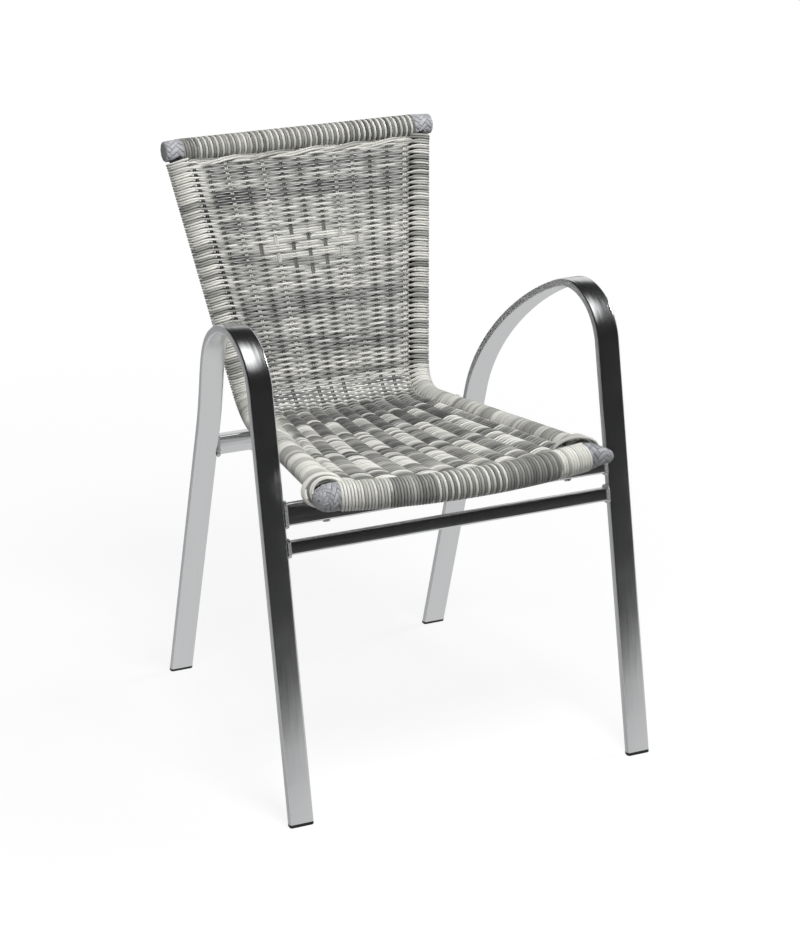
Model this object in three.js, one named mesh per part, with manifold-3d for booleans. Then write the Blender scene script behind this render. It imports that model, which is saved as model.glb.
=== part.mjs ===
// Woven bistro armchair: two bent aluminium side arches, three welded crossbars and a
// woven seat shell on a bent tube frame. Millimetres, X to the sitter's left and right,
// Y from front to back, Z up. The floor is Z = 0.
import * as THREE from 'three';
import { mergeVertices } from 'three/addons/utils/BufferGeometryUtils.js';
import Module from 'manifold-3d';

const wasm = await Module();
wasm.setup();

// Clearances between separate pieces, and the overrun of every cut.
const GAP = 0.3;
const LOOSE_GAP = 0.5;
const OVERRUN = 4;

// Side arch: a flat oval tube bent in one plane. Its path is the outer face, from the
// front foot over the arm to the rear foot.
const ARCH_WIDTH = 34;
const ARCH_THICKNESS = 11;
const ARCH_CORNER = 3.4;
const ARCH_WALL = 1.6;
const FRONT_LEG_LENGTH = 578;
const FRONT_LEG_LEAN = THREE.MathUtils.degToRad(9.14);
const ELBOW_RADIUS = 79;
const ARM_RADIUS = 99;
const REAR_SWEEP_RADIUS = 354;
const ARM_BENDS = [
  { radius: ELBOW_RADIUS, turn: THREE.MathUtils.degToRad(50.7), steps: 6 },
  { radius: ARM_RADIUS, turn: THREE.MathUtils.degToRad(50), steps: 6 },
  { radius: REAR_SWEEP_RADIUS, turn: THREE.MathUtils.degToRad(48.9), steps: 8 },
];
const FRONT_HALF_WIDTH = 269.5;
const REAR_HALF_WIDTH = 226.5;

// Foot glides: a sole as wide as the tube, and a plug that fits its bore.
const SOLE_HEIGHT = 4.5;
const SOLE_CHAMFER = 0.8;
const PLUG_LENGTH = 26;
const PLUG_TAPER_SHARE = 0.86;

// Crossbars, as depth along Y and height along Z, and the height of each top face.
const SEAT_BAR_DEPTH = 12;
const SEAT_BAR_HEIGHT = 30;
const SEAT_BAR_TOP = 424.7;
const LOWER_BAR_DEPTH = 12;
const LOWER_BAR_HEIGHT = 18.5;
const LOWER_BAR_TOP = 375;
const REAR_BAR_DEPTH = 18;
const REAR_BAR_HEIGHT = 27;
const REAR_BAR_TOP = 408.4;
const REAR_BAR_FRONT = 428;
const BAR_CORNER = 2.4;
const BAR_WALL = 1.6;
const BEAD_REACH = 3.6;
const BEAD_THICKNESS = 2.6;

// Shell frame: round tubes, given by their axes. The side rails run straight along the
// seat, bend at the waist and run straight up the back.
const SIDE_TUBE_DIAMETER = 25;
const TOP_TUBE_DIAMETER = 25;
const FRONT_TUBE_DIAMETER = 32;
const SHELL_TUBE_WALL = 1.5;
const SEAT_FRONT_HALF = 185;
const SEAT_FRONT_Y = 12;
const SEAT_FRONT_Z = 445;
const WAIST_HALF = 132;
const WAIST_Y = 452;
const WAIST_Z = 420.5;
const TOP_HALF = 189;
const TOP_Y = 560;
const TOP_Z = 795;
const WAIST_BEND_TANGENT = 49.4;
const FRONT_BOW = 20;
const FRONT_DIP = 4;
const TOP_RAIL_REACH = 205;
const FRONT_RAIL_REACH = 196;

// Woven strand on the rails: side sleeves of turned weft, and wound top and front rails.
const STRAND = 3.5;
const WINDING_TURNS = 24;
const WINDING_STEPS = 10;
const WINDING_GAP = 1.2;
const WINDING_INSET = 3.2;
const BAND_GAP = 1.4;
const SLEEVE_INSET = 7.2;
const BAND_EDGE_SHARE = 0.84;
const TOP_CAP_REACH = 6;
const FRONT_CAP_REACH = 13;
const TOP_CAP_RADIUS = 18.2;
const FRONT_CAP_RADIUS = 19.8;
const CAP_ROOT_GAP = 1.2;
const TOP_CAP_SHOULDER_SHARE = 0.7;
const TOP_CAP_TIP_SHARE = 0.6;
const FRONT_CAP_SHOULDER_SHARE = 0.49;
const FRONT_CAP_TIP_SHARE = 0.16;

// Woven panels and the twisted border cords beside them. The weft passes over one stake
// and under the next. A band of it in the relief stands for five rows of strand.
const PANEL_THICKNESS = 6;
const PANEL_RAISE = 3;
const SEAT_DISH = 7;
const BACK_DISH = 3;
const FRONT_RISE = 5;
const FRONT_RISE_RUN = 45;
const STAKE_COUNT = 12;
const FIRST_STAKE_SHARE = -0.92;
const LAST_STAKE_SHARE = 0.95;
const WEFT_BAND = 18.75;
const WEFT_RELIEF = 1.8;
const CORD_DIAMETER = 4.6;
const CORD_WAVE = 0.8;
const CORD_WAVES = 7;

// Screws that hold the shell down on the crossbars.
const SCREW_DIAMETER = 5;
const SCREW_HEAD_DIAMETER = 10;
const SCREW_HEAD_HEIGHT = 3;
const SCREW_CROWN_SHARE = 0.7;
const SCREW_ENGAGEMENT = 7;

// Facet counts.
const ROUND_SIDES = 16;
const CORNER_STEPS = 2;
const BEND_STEPS = 7;
const CROSS_STEPS = 12;
const CORD_STEPS = 4;
const CORD_SIDES = 6;
const SCREW_SIDES = 10;
const CAP_STEPS = 5;

const X_AXIS = new THREE.Vector3(1, 0, 0);
const Y_AXIS = new THREE.Vector3(0, 1, 0);
const Z_AXIS = new THREE.Vector3(0, 0, 1);

const polished = new THREE.MeshStandardMaterial({ color: 0xc9ccce, roughness: 0.18, metalness: 1 });
const weld = new THREE.MeshStandardMaterial({ color: 0xb4b6b6, roughness: 0.4, metalness: 1 });
const plastic = new THREE.MeshStandardMaterial({ color: 0x17181a, roughness: 0.55, metalness: 0 });
const frameTube = new THREE.MeshStandardMaterial({ color: 0x9a9c9e, roughness: 0.5, metalness: 0.9 });
const steel = new THREE.MeshStandardMaterial({ color: 0xb9bcc0, roughness: 0.35, metalness: 1 });
const paleStrand = new THREE.MeshStandardMaterial({ color: 0xc4c4b8, roughness: 0.5, metalness: 0 });
const greyStrand = new THREE.MeshStandardMaterial({ color: 0x9c9c94, roughness: 0.5, metalness: 0 });
const capStrand = new THREE.MeshStandardMaterial({ color: 0x8a8c92, roughness: 0.5, metalness: 0 });

const chair = new THREE.Group();

function addPiece(name, geometry, material) {
  const mesh = new THREE.Mesh(geometry, material);
  mesh.name = name;
  chair.add(mesh);
}

// Makes a geometry of points and triangle indices, with every face turned outwards.
function solidOf(points, faces) {
  let volume = 0;
  for (let i = 0; i < faces.length; i += 3) {
    const [a, b, c] = [points[faces[i]], points[faces[i + 1]], points[faces[i + 2]]];
    volume += a.dot(b.clone().cross(c));
  }
  if (volume < 0) faces.reverse();
  const geometry = new THREE.BufferGeometry().setFromPoints(points);
  geometry.setIndex(faces);
  return geometry;
}

// Joins rings of equal point counts into one closed surface. A looped stack returns to
// its first ring, as the wall of an open tube does. Another is closed by two flat ends.
function skin(rings, looped = false) {
  const count = rings[0].length;
  const faces = [];
  const spans = looped ? rings.length : rings.length - 1;
  for (let i = 0; i < spans; i++) {
    const near = i * count;
    const far = ((i + 1) % rings.length) * count;
    for (let j = 0; j < count; j++) {
      const k = (j + 1) % count;
      faces.push(near + j, near + k, far + k, near + j, far + k, far + j);
    }
  }
  if (!looped) {
    const last = (rings.length - 1) * count;
    for (let j = 0; j < count / 2 - 1; j++) {
      const [a, b, c, d] = [j, j + 1, count - 2 - j, count - 1 - j];
      faces.push(a, c, b, a, d, c);
      faces.push(last + a, last + b, last + c, last + a, last + c, last + d);
    }
  }
  return solidOf(rings.flat(), faces);
}

// The wall between two stacks of rings that run side by side, open at both ends.
function wallBetween(outer, inner) {
  return skin([...outer, ...inner.slice().reverse()], true);
}

function manifoldOf(geometry) {
  const plain = geometry.clone();
  plain.deleteAttribute('normal');
  plain.deleteAttribute('uv');
  const merged = mergeVertices(plain, GAP / 1000);
  return new wasm.Manifold(new wasm.Mesh({
    numProp: 3,
    vertProperties: new Float32Array(merged.attributes.position.array),
    triVerts: new Uint32Array(merged.index.array),
  }));
}

function cutFrom(geometry, ...tools) {
  let solid = manifoldOf(geometry);
  for (const tool of tools) solid = solid.subtract(manifoldOf(tool));
  const mesh = solid.getMesh();
  const result = new THREE.BufferGeometry();
  result.setAttribute('position', new THREE.BufferAttribute(mesh.vertProperties, 3));
  result.setIndex(new THREE.BufferAttribute(mesh.triVerts, 1));
  return result;
}

function circle(radius, sides = ROUND_SIDES) {
  const points = [];
  for (let i = 0; i < sides; i++) {
    const angle = ((i + 0.5) / sides) * Math.PI * 2;
    points.push(new THREE.Vector2(radius * Math.cos(angle), radius * Math.sin(angle)));
  }
  return points;
}

// A rectangle with round corners, widened on all sides by grow.
function roundedRectangle(width, height, corner, grow = 0) {
  const points = [];
  const radius = Math.max(corner + grow, GAP);
  const x = width / 2 + grow - radius;
  const y = height / 2 + grow - radius;
  for (const [sideX, sideY, start] of [[1, 1, 0], [-1, 1, 1], [-1, -1, 2], [1, -1, 3]]) {
    for (let i = 0; i <= CORNER_STEPS; i++) {
      const angle = (start + i / CORNER_STEPS) * Math.PI / 2;
      points.push(new THREE.Vector2(
        sideX * x + radius * Math.cos(angle),
        sideY * y + radius * Math.sin(angle),
      ));
    }
  }
  return points;
}

// Sets a flat section at a point, along two directions that may be stretched.
function ringAt(section, origin, u, v) {
  return section.map((p) => origin.clone().addScaledVector(u, p.x).addScaledVector(v, p.y));
}

// Rings of a section along stations, each with its point and its two directions.
function sweep(section, stations) {
  return stations.map((s) => ringAt(section, s.point, s.u, s.v));
}

// Stations on a line of points, square to it, with u kept square to a steady direction.
function stationsAlong(points, steady) {
  return points.map((point, i) => {
    const before = points[Math.max(i - 1, 0)];
    const after = points[Math.min(i + 1, points.length - 1)];
    const along = after.clone().sub(before).normalize();
    const u = steady.clone().cross(along).normalize();
    return { point, along, u, v: along.clone().cross(u) };
  });
}

function tubeAlong(stations, diameter, wall) {
  const outer = sweep(circle(diameter / 2), stations);
  return wallBetween(outer, sweep(circle(diameter / 2 - wall), stations));
}

function rodAlong(stations, radius) {
  return skin(sweep(circle(radius), stations));
}

// Side arches. archPath gives points of the outer face with the inward direction.
function archPath() {
  const path = [];
  let heading = Math.PI / 2 - FRONT_LEG_LEAN;
  let y = 0;
  let z = 0;
  let run = 0;
  const note = () => path.push({ y, z, run, heading });
  const go = (length, turn) => {
    y += length * Math.cos(heading - turn / 2);
    z += length * Math.sin(heading - turn / 2);
    heading -= turn;
    run += length;
  };
  note();
  go(FRONT_LEG_LENGTH, 0);
  note();
  for (const bend of ARM_BENDS) {
    for (let i = 0; i < bend.steps; i++) {
      go(bend.radius * bend.turn / bend.steps, bend.turn / bend.steps);
      note();
    }
  }
  go(z / -Math.sin(heading), 0);
  note();
  return path;
}

const PATH = archPath();
const CROWN_RUN = PATH.reduce((best, p) => (p.z > best.z ? p : best)).run;
const REAR_RUN = PATH[PATH.length - 2].run;

// The arch stands wider in front, and draws in behind the crown to the rear leg.
function archOuterX(run) {
  const drawn = THREE.MathUtils.smoothstep(run, CROWN_RUN, REAR_RUN);
  return THREE.MathUtils.lerp(FRONT_HALF_WIDTH, REAR_HALF_WIDTH, drawn);
}

// A point on the middle of the tube, at a height on the front or the rear straight.
function legAt(height, rear) {
  const end = rear ? PATH[PATH.length - 1] : PATH[0];
  const lean = rear ? -Math.PI / 2 - end.heading : Math.PI / 2 - end.heading;
  const halfDepth = ARCH_THICKNESS / 2 / Math.cos(lean);
  const y = end.y + height * Math.tan(lean) + (rear ? -halfDepth : halfDepth);
  const x = archOuterX(end.run) - ARCH_WIDTH / 2;
  return { point: new THREE.Vector3(x, y, height), stretch: 1 / Math.cos(lean), halfDepth };
}

// Stations of one arch. The feet are cut level, so there the section lies flat.
function archStations(side) {
  const foot = (rear) => {
    const leg = legAt(SOLE_HEIGHT, rear);
    leg.point.x *= side;
    const inward = Y_AXIS.clone().multiplyScalar(rear ? -leg.stretch : leg.stretch);
    return { point: leg.point, u: X_AXIS, v: inward };
  };
  const middle = PATH.slice(1, -1).map((p) => {
    const inward = new THREE.Vector3(0, Math.sin(p.heading), -Math.cos(p.heading));
    const x = side * (archOuterX(p.run) - ARCH_WIDTH / 2);
    const point = new THREE.Vector3(x, p.y, p.z).addScaledVector(inward, ARCH_THICKNESS / 2);
    return { point, u: X_AXIS, v: inward };
  });
  return [foot(false), ...middle, foot(true)];
}

function archGeometry(side) {
  const stations = archStations(side);
  const outer = roundedRectangle(ARCH_WIDTH, ARCH_THICKNESS, ARCH_CORNER);
  const bore = roundedRectangle(ARCH_WIDTH, ARCH_THICKNESS, ARCH_CORNER, -ARCH_WALL);
  return wallBetween(sweep(outer, stations), sweep(bore, stations));
}

// A glide's rings climb the leaning leg: chamfer, sole, ledge and tapered plug.
function glideGeometry(side, rear) {
  const ring = (height, grow, share = 1) => {
    const leg = legAt(height, rear);
    leg.point.x *= side;
    const section = roundedRectangle(ARCH_WIDTH, ARCH_THICKNESS, ARCH_CORNER, grow);
    const u = X_AXIS.clone().multiplyScalar(share);
    const v = Y_AXIS.clone().multiplyScalar(leg.stretch * share);
    return ringAt(section, leg.point, u, v);
  };
  const ledge = SOLE_HEIGHT - GAP;
  const plugInset = -ARCH_WALL - GAP;
  return skin([
    ring(0, -SOLE_CHAMFER),
    ring(SOLE_CHAMFER, 0),
    ring(ledge, 0),
    ring(ledge, plugInset),
    ring(PLUG_LENGTH / 2, plugInset),
    ring(PLUG_LENGTH, plugInset, PLUG_TAPER_SHARE),
  ]);
}

// Crossbars between the arches, with a weld bead round each end.
const seatBarLeg = legAt(SEAT_BAR_TOP - SEAT_BAR_HEIGHT / 2, false);
const lowerBarLeg = legAt(LOWER_BAR_TOP - LOWER_BAR_HEIGHT / 2, false);
const rearBarLeg = legAt(REAR_BAR_TOP - REAR_BAR_HEIGHT / 2, true);
const BARS = {
  front_seat_crossbar: {
    depth: SEAT_BAR_DEPTH,
    height: SEAT_BAR_HEIGHT,
    centre: seatBarLeg.point,
    lean: FRONT_LEG_LEAN,
  },
  front_lower_crossbar: {
    depth: LOWER_BAR_DEPTH,
    height: LOWER_BAR_HEIGHT,
    centre: lowerBarLeg.point,
    lean: FRONT_LEG_LEAN,
  },
  rear_crossbar: {
    depth: REAR_BAR_DEPTH,
    height: REAR_BAR_HEIGHT,
    centre: rearBarLeg.point.clone().setY(REAR_BAR_FRONT + REAR_BAR_DEPTH / 2),
    lean: 0,
  },
};

// The front bars lean with the legs, so their faces are flush. The height is measured
// from the bar's axis, square to its top face.
function barStation(bar, x, height = 0) {
  const u = new THREE.Vector3(0, Math.cos(bar.lean), -Math.sin(bar.lean));
  const v = new THREE.Vector3(0, Math.sin(bar.lean), Math.cos(bar.lean));
  const point = new THREE.Vector3(x, bar.centre.y, bar.centre.z).addScaledVector(v, height);
  return { point, u, v };
}

function barEnd(bar) {
  return bar.centre.x - ARCH_WIDTH / 2 - GAP;
}

function barGeometry(bar) {
  const ends = [barStation(bar, -barEnd(bar)), barStation(bar, barEnd(bar))];
  const outer = roundedRectangle(bar.depth, bar.height, BAR_CORNER);
  const bore = roundedRectangle(bar.depth, bar.height, BAR_CORNER, -BAR_WALL);
  return wallBetween(sweep(outer, ends), sweep(bore, ends));
}

// A fillet of weld: three rings round the bar, the widest one against the arch.
function beadGeometry(bar, side) {
  const ring = (inset, grow) => {
    const station = barStation(bar, side * (barEnd(bar) - inset));
    const section = roundedRectangle(bar.depth, bar.height, BAR_CORNER, grow);
    return ringAt(section, station.point, station.u, station.v);
  };
  return skin([
    ring(0, GAP),
    ring(0, BEAD_THICKNESS),
    ring(BEAD_REACH / 2, BEAD_THICKNESS * 2 / 3),
    ring(BEAD_REACH, GAP),
  ], true);
}

// Shell frame lines. The side line runs from the front rail's axis to the top rail's.
function sideLine(side) {
  const front = new THREE.Vector3(side * SEAT_FRONT_HALF, SEAT_FRONT_Y, SEAT_FRONT_Z);
  const waist = new THREE.Vector3(side * WAIST_HALF, WAIST_Y, WAIST_Z);
  const top = new THREE.Vector3(side * TOP_HALF, TOP_Y, TOP_Z);
  const before = front.clone().sub(waist).setLength(WAIST_BEND_TANGENT).add(waist);
  const after = top.clone().sub(waist).setLength(WAIST_BEND_TANGENT).add(waist);
  const bend = new THREE.QuadraticBezierCurve3(before, waist, after);
  return { front, top, before, after, bend };
}

// Points along the side line, cut short by a length at each end.
function sidePoints(side, shortFront = 0, shortTop = 0) {
  const line = sideLine(side);
  const start = line.before.clone().sub(line.front).setLength(shortFront).add(line.front);
  const end = line.after.clone().sub(line.top).setLength(shortTop).add(line.top);
  return [start, ...line.bend.getPoints(BEND_STEPS), end];
}

// The front rail bows forward and dips between the side rails.
function frontRailPoint(x) {
  const bow = 1 - (x / SEAT_FRONT_HALF) ** 2;
  return new THREE.Vector3(x, SEAT_FRONT_Y - FRONT_BOW * bow, SEAT_FRONT_Z - FRONT_DIP * bow);
}

function topRailPoint(x) {
  return new THREE.Vector3(x, TOP_Y, TOP_Z);
}

function pointsAcross(pointAt, from, to, steps) {
  const points = [];
  for (let i = 0; i <= steps; i++) {
    points.push(pointAt(THREE.MathUtils.lerp(from, to, i / steps)));
  }
  return points;
}

const sleeveRadius = SIDE_TUBE_DIAMETER / 2 + GAP + STRAND;
const RAILS = {
  top: {
    pointAt: topRailPoint,
    half: TOP_HALF,
    radius: TOP_TUBE_DIAMETER / 2,
    reach: TOP_RAIL_REACH,
    cap: {
      radius: TOP_CAP_RADIUS,
      reach: TOP_CAP_REACH,
      shoulderShare: TOP_CAP_SHOULDER_SHARE,
      tipShare: TOP_CAP_TIP_SHARE,
    },
    steps: 1,
  },
  front: {
    pointAt: frontRailPoint,
    half: SEAT_FRONT_HALF,
    radius: FRONT_TUBE_DIAMETER / 2,
    reach: FRONT_RAIL_REACH,
    cap: {
      radius: FRONT_CAP_RADIUS,
      reach: FRONT_CAP_REACH,
      shoulderShare: FRONT_CAP_SHOULDER_SHARE,
      tipShare: FRONT_CAP_TIP_SHARE,
    },
    steps: CROSS_STEPS,
  },
};

function railStations(rail) {
  return stationsAlong(pointsAcross(rail.pointAt, -rail.reach, rail.reach, rail.steps), Z_AXIS);
}

// The side tube's ends are coped to the round rails that it meets.
function sideRailGeometry(side) {
  const stations = stationsAlong(sidePoints(side), X_AXIS);
  const tube = tubeAlong(stations, SIDE_TUBE_DIAMETER, SHELL_TUBE_WALL);
  const saddles = Object.values(RAILS).map((rail) => {
    return rodAlong(railStations(rail), rail.radius + GAP);
  });
  return cutFrom(tube, ...saddles);
}

function sideSleeveStations(side) {
  const shortFront = RAILS.front.radius + SLEEVE_INSET;
  const shortTop = RAILS.top.radius + SLEEVE_INSET;
  return stationsAlong(sidePoints(side, shortFront, shortTop), X_AXIS);
}

function sideSleeveGeometry(side) {
  const stations = sideSleeveStations(side);
  return tubeAlong(stations, sleeveRadius * 2, STRAND);
}

// A flat band wound round a rail in one unbroken run of even turns.
function windingHalf(rail) {
  return rail.half - SIDE_TUBE_DIAMETER / 2 - WINDING_INSET;
}

function windingGeometry(rail) {
  const half = windingHalf(rail);
  const pitch = half * 2 / WINDING_TURNS;
  const width = pitch - BAND_GAP;
  const middle = rail.radius + WINDING_GAP + STRAND / 2;
  const edge = STRAND / 2;
  const flat = BAND_EDGE_SHARE * width / 2;
  const section = [
    new THREE.Vector2(width / 2, 0),
    new THREE.Vector2(flat, edge),
    new THREE.Vector2(-flat, edge),
    new THREE.Vector2(-width / 2, 0),
    new THREE.Vector2(-flat, -edge),
    new THREE.Vector2(flat, -edge),
  ];
  const rings = [];
  const steps = WINDING_TURNS * WINDING_STEPS;
  const reach = half - width / 2;
  const centres = pointsAcross(rail.pointAt, -reach, reach, steps);
  stationsAlong(centres, Z_AXIS).forEach((station, i) => {
    const angle = (i / WINDING_STEPS) * Math.PI * 2;
    const out = station.u.clone().multiplyScalar(Math.cos(angle));
    out.addScaledVector(station.v, Math.sin(angle));
    const point = station.point.clone().addScaledVector(out, middle);
    rings.push(ringAt(section, point, station.along, out));
  });
  return { geometry: skin(rings), selfGap: leastGap(rings) };
}

// The least distance between points of neighbouring turns.
function leastGap(rings) {
  let least = Infinity;
  for (let i = 0; i + WINDING_STEPS < rings.length; i++) {
    for (const a of rings[i]) {
      for (const b of rings[i + WINDING_STEPS]) least = Math.min(least, a.distanceTo(b));
    }
  }
  return least;
}

// A braided cap: a bore over the rail's end, and a dome past it. The side sleeve comes
// in through an opening in its wall.
function capGeometry(rail, side) {
  const bore = rail.radius + GAP;
  const root = windingHalf(rail) + CAP_ROOT_GAP;
  const { radius: wide, shoulderShare, tipShare } = rail.cap;
  const tip = rail.reach + rail.cap.reach;
  const shoulder = THREE.MathUtils.lerp(root, tip, shoulderShare);
  const ringOf = (x, radius) => {
    const near = pointsAcross(rail.pointAt, side * x - GAP, side * x + GAP, 2);
    const station = stationsAlong(near, Z_AXIS)[1];
    return ringAt(circle(radius), station.point, station.u, station.v);
  };
  const rings = [ringOf(rail.reach + GAP, bore), ringOf(root, bore), ringOf(root, wide)];
  for (let i = 0; i <= CAP_STEPS; i++) {
    const angle = (i / CAP_STEPS) * Math.PI / 2;
    const radius = THREE.MathUtils.lerp(wide * tipShare, wide, Math.cos(angle));
    rings.push(ringOf(THREE.MathUtils.lerp(shoulder, tip, Math.sin(angle)), radius));
  }
  const sleeve = rodAlong(stationsAlong(sidePoints(side), X_AXIS), sleeveRadius + GAP);
  return cutFrom(skin(rings), sleeve);
}

// Woven panels lie between the sleeves. Rows are measured along the side line.
const sideCurve = new THREE.CurvePath();
const rightLine = sideLine(1);
sideCurve.add(new THREE.LineCurve3(rightLine.front, rightLine.before));
sideCurve.add(rightLine.bend);
sideCurve.add(new THREE.LineCurve3(rightLine.after, rightLine.top));
const sideLength = sideCurve.getLength();
const waistRun = rightLine.front.distanceTo(rightLine.before) + rightLine.bend.getLength() / 2;

function sideStation(run) {
  const point = sideCurve.getPointAt(run / sideLength);
  const along = sideCurve.getTangentAt(run / sideLength);
  const up = X_AXIS.clone().cross(along).normalize();
  return { point, along, up, half: point.x - sleeveRadius - LOOSE_GAP };
}

// From a rail's axis out to the middle of its border cord, and on to the panel's edge.
function cordReach(rail) {
  return rail.radius + WINDING_GAP + STRAND + LOOSE_GAP + CORD_DIAMETER / 2;
}

function panelReach(rail) {
  return cordReach(rail) + CORD_DIAMETER / 2 + LOOSE_GAP;
}

// The stakes as shares across a panel, each with the side of it that the weft passes on.
const stakes = Array.from({ length: STAKE_COUNT }, (_, k) => ({
  across: THREE.MathUtils.lerp(FIRST_STAKE_SHARE, LAST_STAKE_SHARE, k / (STAKE_COUNT - 1)),
  sway: k % 2 ? -1 : 1,
}));
const panelColumns = [{ across: -1, sway: 0 }, ...stakes, { across: 1, sway: 0 }];

// One band of a panel: a dished strip that follows the front rail's bow and rises to it.
function panelRow(run, dish, bowShare, relief) {
  const station = sideStation(run);
  const rise = FRONT_RISE * Math.exp(-((run / FRONT_RISE_RUN) ** 2));
  const strip = (height) => panelColumns.map(({ across, sway }) => {
    const middle = 1 - across ** 2;
    const point = new THREE.Vector3(across * station.half, station.point.y, station.point.z);
    point.y -= FRONT_BOW * middle * bowShare;
    point.z -= FRONT_DIP * middle * bowShare;
    const lift = height + sway * relief + (rise - dish) * middle;
    return point.addScaledVector(station.up, lift);
  });
  const face = strip(PANEL_RAISE + PANEL_THICKNESS / 2);
  const back = strip(PANEL_RAISE - PANEL_THICKNESS / 2);
  return [...face, ...back.reverse()];
}

// A panel's first and last band lie flat along its neighbours.
function panelGeometry(from, to, dish, bowed) {
  const bands = Math.round((to - from) / WEFT_BAND);
  const rows = [];
  for (let i = 0; i <= bands; i++) {
    const share = i / bands;
    const run = THREE.MathUtils.lerp(from, to, share);
    const relief = i > 0 && i < bands ? WEFT_RELIEF * (i % 2 ? 1 : -1) : 0;
    const bowShare = bowed ? (1 - share) ** 2 : 0;
    rows.push(panelRow(run, dish * Math.sin(share * Math.PI), bowShare, relief));
  }
  return skin(rows);
}

// A border cord beside a rail, twisted in and out of the panel's edge.
function cordGeometry(rail, run, toPanel) {
  const station = sideStation(run);
  const inPlane = new THREE.Vector3(0, station.along.y, station.along.z);
  inPlane.setLength(toPanel * cordReach(rail));
  const half = station.half - LOOSE_GAP;
  const points = pointsAcross((x) => {
    const wave = CORD_WAVE * Math.sin((x / half) * CORD_WAVES * Math.PI);
    return rail.pointAt(x).add(inPlane).addScaledVector(station.up, PANEL_RAISE + wave);
  }, -half, half, CORD_WAVES * CORD_STEPS);
  return skin(sweep(circle(CORD_DIAMETER / 2, CORD_SIDES), stationsAlong(points, Z_AXIS)));
}

// Screws rise square through a crossbar and a sleeve into the side tube above. Heights
// are measured from the bar's axis.
function screwAt(bar, side) {
  const { u, v } = barStation(bar, 0);
  const offset = (run) => sideStation(run).point.sub(bar.centre);
  let low = 0;
  let high = waistRun;
  while (high - low > GAP / 10) {
    const middle = (low + high) / 2;
    if (offset(middle).dot(u) < 0) low = middle;
    else high = middle;
  }
  const { point, up } = sideStation(low);
  const head = -bar.height / 2 - GAP;
  const tip = offset(low).dot(v) - SIDE_TUBE_DIAMETER / 2 / up.dot(v) + SCREW_ENGAGEMENT;
  return { x: side * point.x, head, tip };
}

function turnedOn(bar, x, profile) {
  const rings = profile.map(([height, radius]) => {
    const { point, u } = barStation(bar, x, height);
    return ringAt(circle(radius, SCREW_SIDES), point, X_AXIS, u);
  });
  return skin(rings);
}

function screwGeometry(bar, side) {
  const screw = screwAt(bar, side);
  const shank = SCREW_DIAMETER / 2;
  const head = SCREW_HEAD_DIAMETER / 2;
  return turnedOn(bar, screw.x, [
    [screw.head - SCREW_HEAD_HEIGHT, head * SCREW_CROWN_SHARE],
    [screw.head - SCREW_HEAD_HEIGHT / 2, head],
    [screw.head, head],
    [screw.head, shank],
    [screw.tip, shank],
  ]);
}

function screwHole(bar, side) {
  const screw = screwAt(bar, side);
  const radius = SCREW_DIAMETER / 2 + GAP;
  return turnedOn(bar, screw.x, [[screw.head - OVERRUN, radius], [screw.tip + GAP, radius]]);
}

const SIDES = [['left', -1], ['right', 1]];
const SCREWED_BARS = [BARS.front_seat_crossbar, BARS.rear_crossbar];

for (const [sideName, side] of SIDES) {
  addPiece(`side_arch_${sideName}`, archGeometry(side), polished);
  addPiece(`front_foot_glide_${sideName}`, glideGeometry(side, false), plastic);
  addPiece(`rear_foot_glide_${sideName}`, glideGeometry(side, true), plastic);
}

for (const [barName, bar] of Object.entries(BARS)) {
  const screwed = SCREWED_BARS.includes(bar);
  const holes = screwed ? SIDES.map(([, side]) => screwHole(bar, side)) : [];
  addPiece(barName, cutFrom(barGeometry(bar), ...holes), polished);
  for (const [sideName, side] of SIDES) {
    addPiece(`${barName}_weld_${sideName}`, beadGeometry(bar, side), weld);
    if (screwed) addPiece(`${barName}_screw_${sideName}`, screwGeometry(bar, side), steel);
  }
}

for (const [sideName, side] of SIDES) {
  const holes = SCREWED_BARS.map((bar) => screwHole(bar, side));
  addPiece(`shell_side_tube_${sideName}`, cutFrom(sideRailGeometry(side), ...holes), frameTube);
  addPiece(`side_weft_sleeve_${sideName}`, cutFrom(sideSleeveGeometry(side), ...holes), paleStrand);
}

for (const [railName, rail] of Object.entries(RAILS)) {
  const tube = tubeAlong(railStations(rail), rail.radius * 2, SHELL_TUBE_WALL);
  addPiece(`shell_${railName}_tube`, tube, frameTube);
  const winding = windingGeometry(rail);
  console.log(`${railName} winding: least gap between turns ${winding.selfGap.toFixed(2)} mm`);
  addPiece(`${railName}_rail_winding`, winding.geometry, greyStrand);
  for (const [sideName, side] of SIDES) {
    addPiece(`${railName}_corner_cap_${sideName}`, capGeometry(rail, side), capStrand);
  }
}

const seatStart = panelReach(RAILS.front);
const backEnd = sideLength - panelReach(RAILS.top);
addPiece('seat_weave', panelGeometry(seatStart, waistRun - GAP, SEAT_DISH, true), paleStrand);
addPiece('back_weave', panelGeometry(waistRun + GAP, backEnd, BACK_DISH, false), paleStrand);
addPiece('front_border_cord', cordGeometry(RAILS.front, cordReach(RAILS.front), 1), greyStrand);
addPiece('top_border_cord', cordGeometry(RAILS.top, sideLength - cordReach(RAILS.top), -1), greyStrand);

// The origin lies on the floor, under the middle of the whole chair.
const bounds = new THREE.Box3().setFromObject(chair);
chair.position.y = -bounds.getCenter(new THREE.Vector3()).y;

export default chair;
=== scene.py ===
import math
import bpy
import bmesh
import numpy as np
from mathutils import Matrix, Vector


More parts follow.
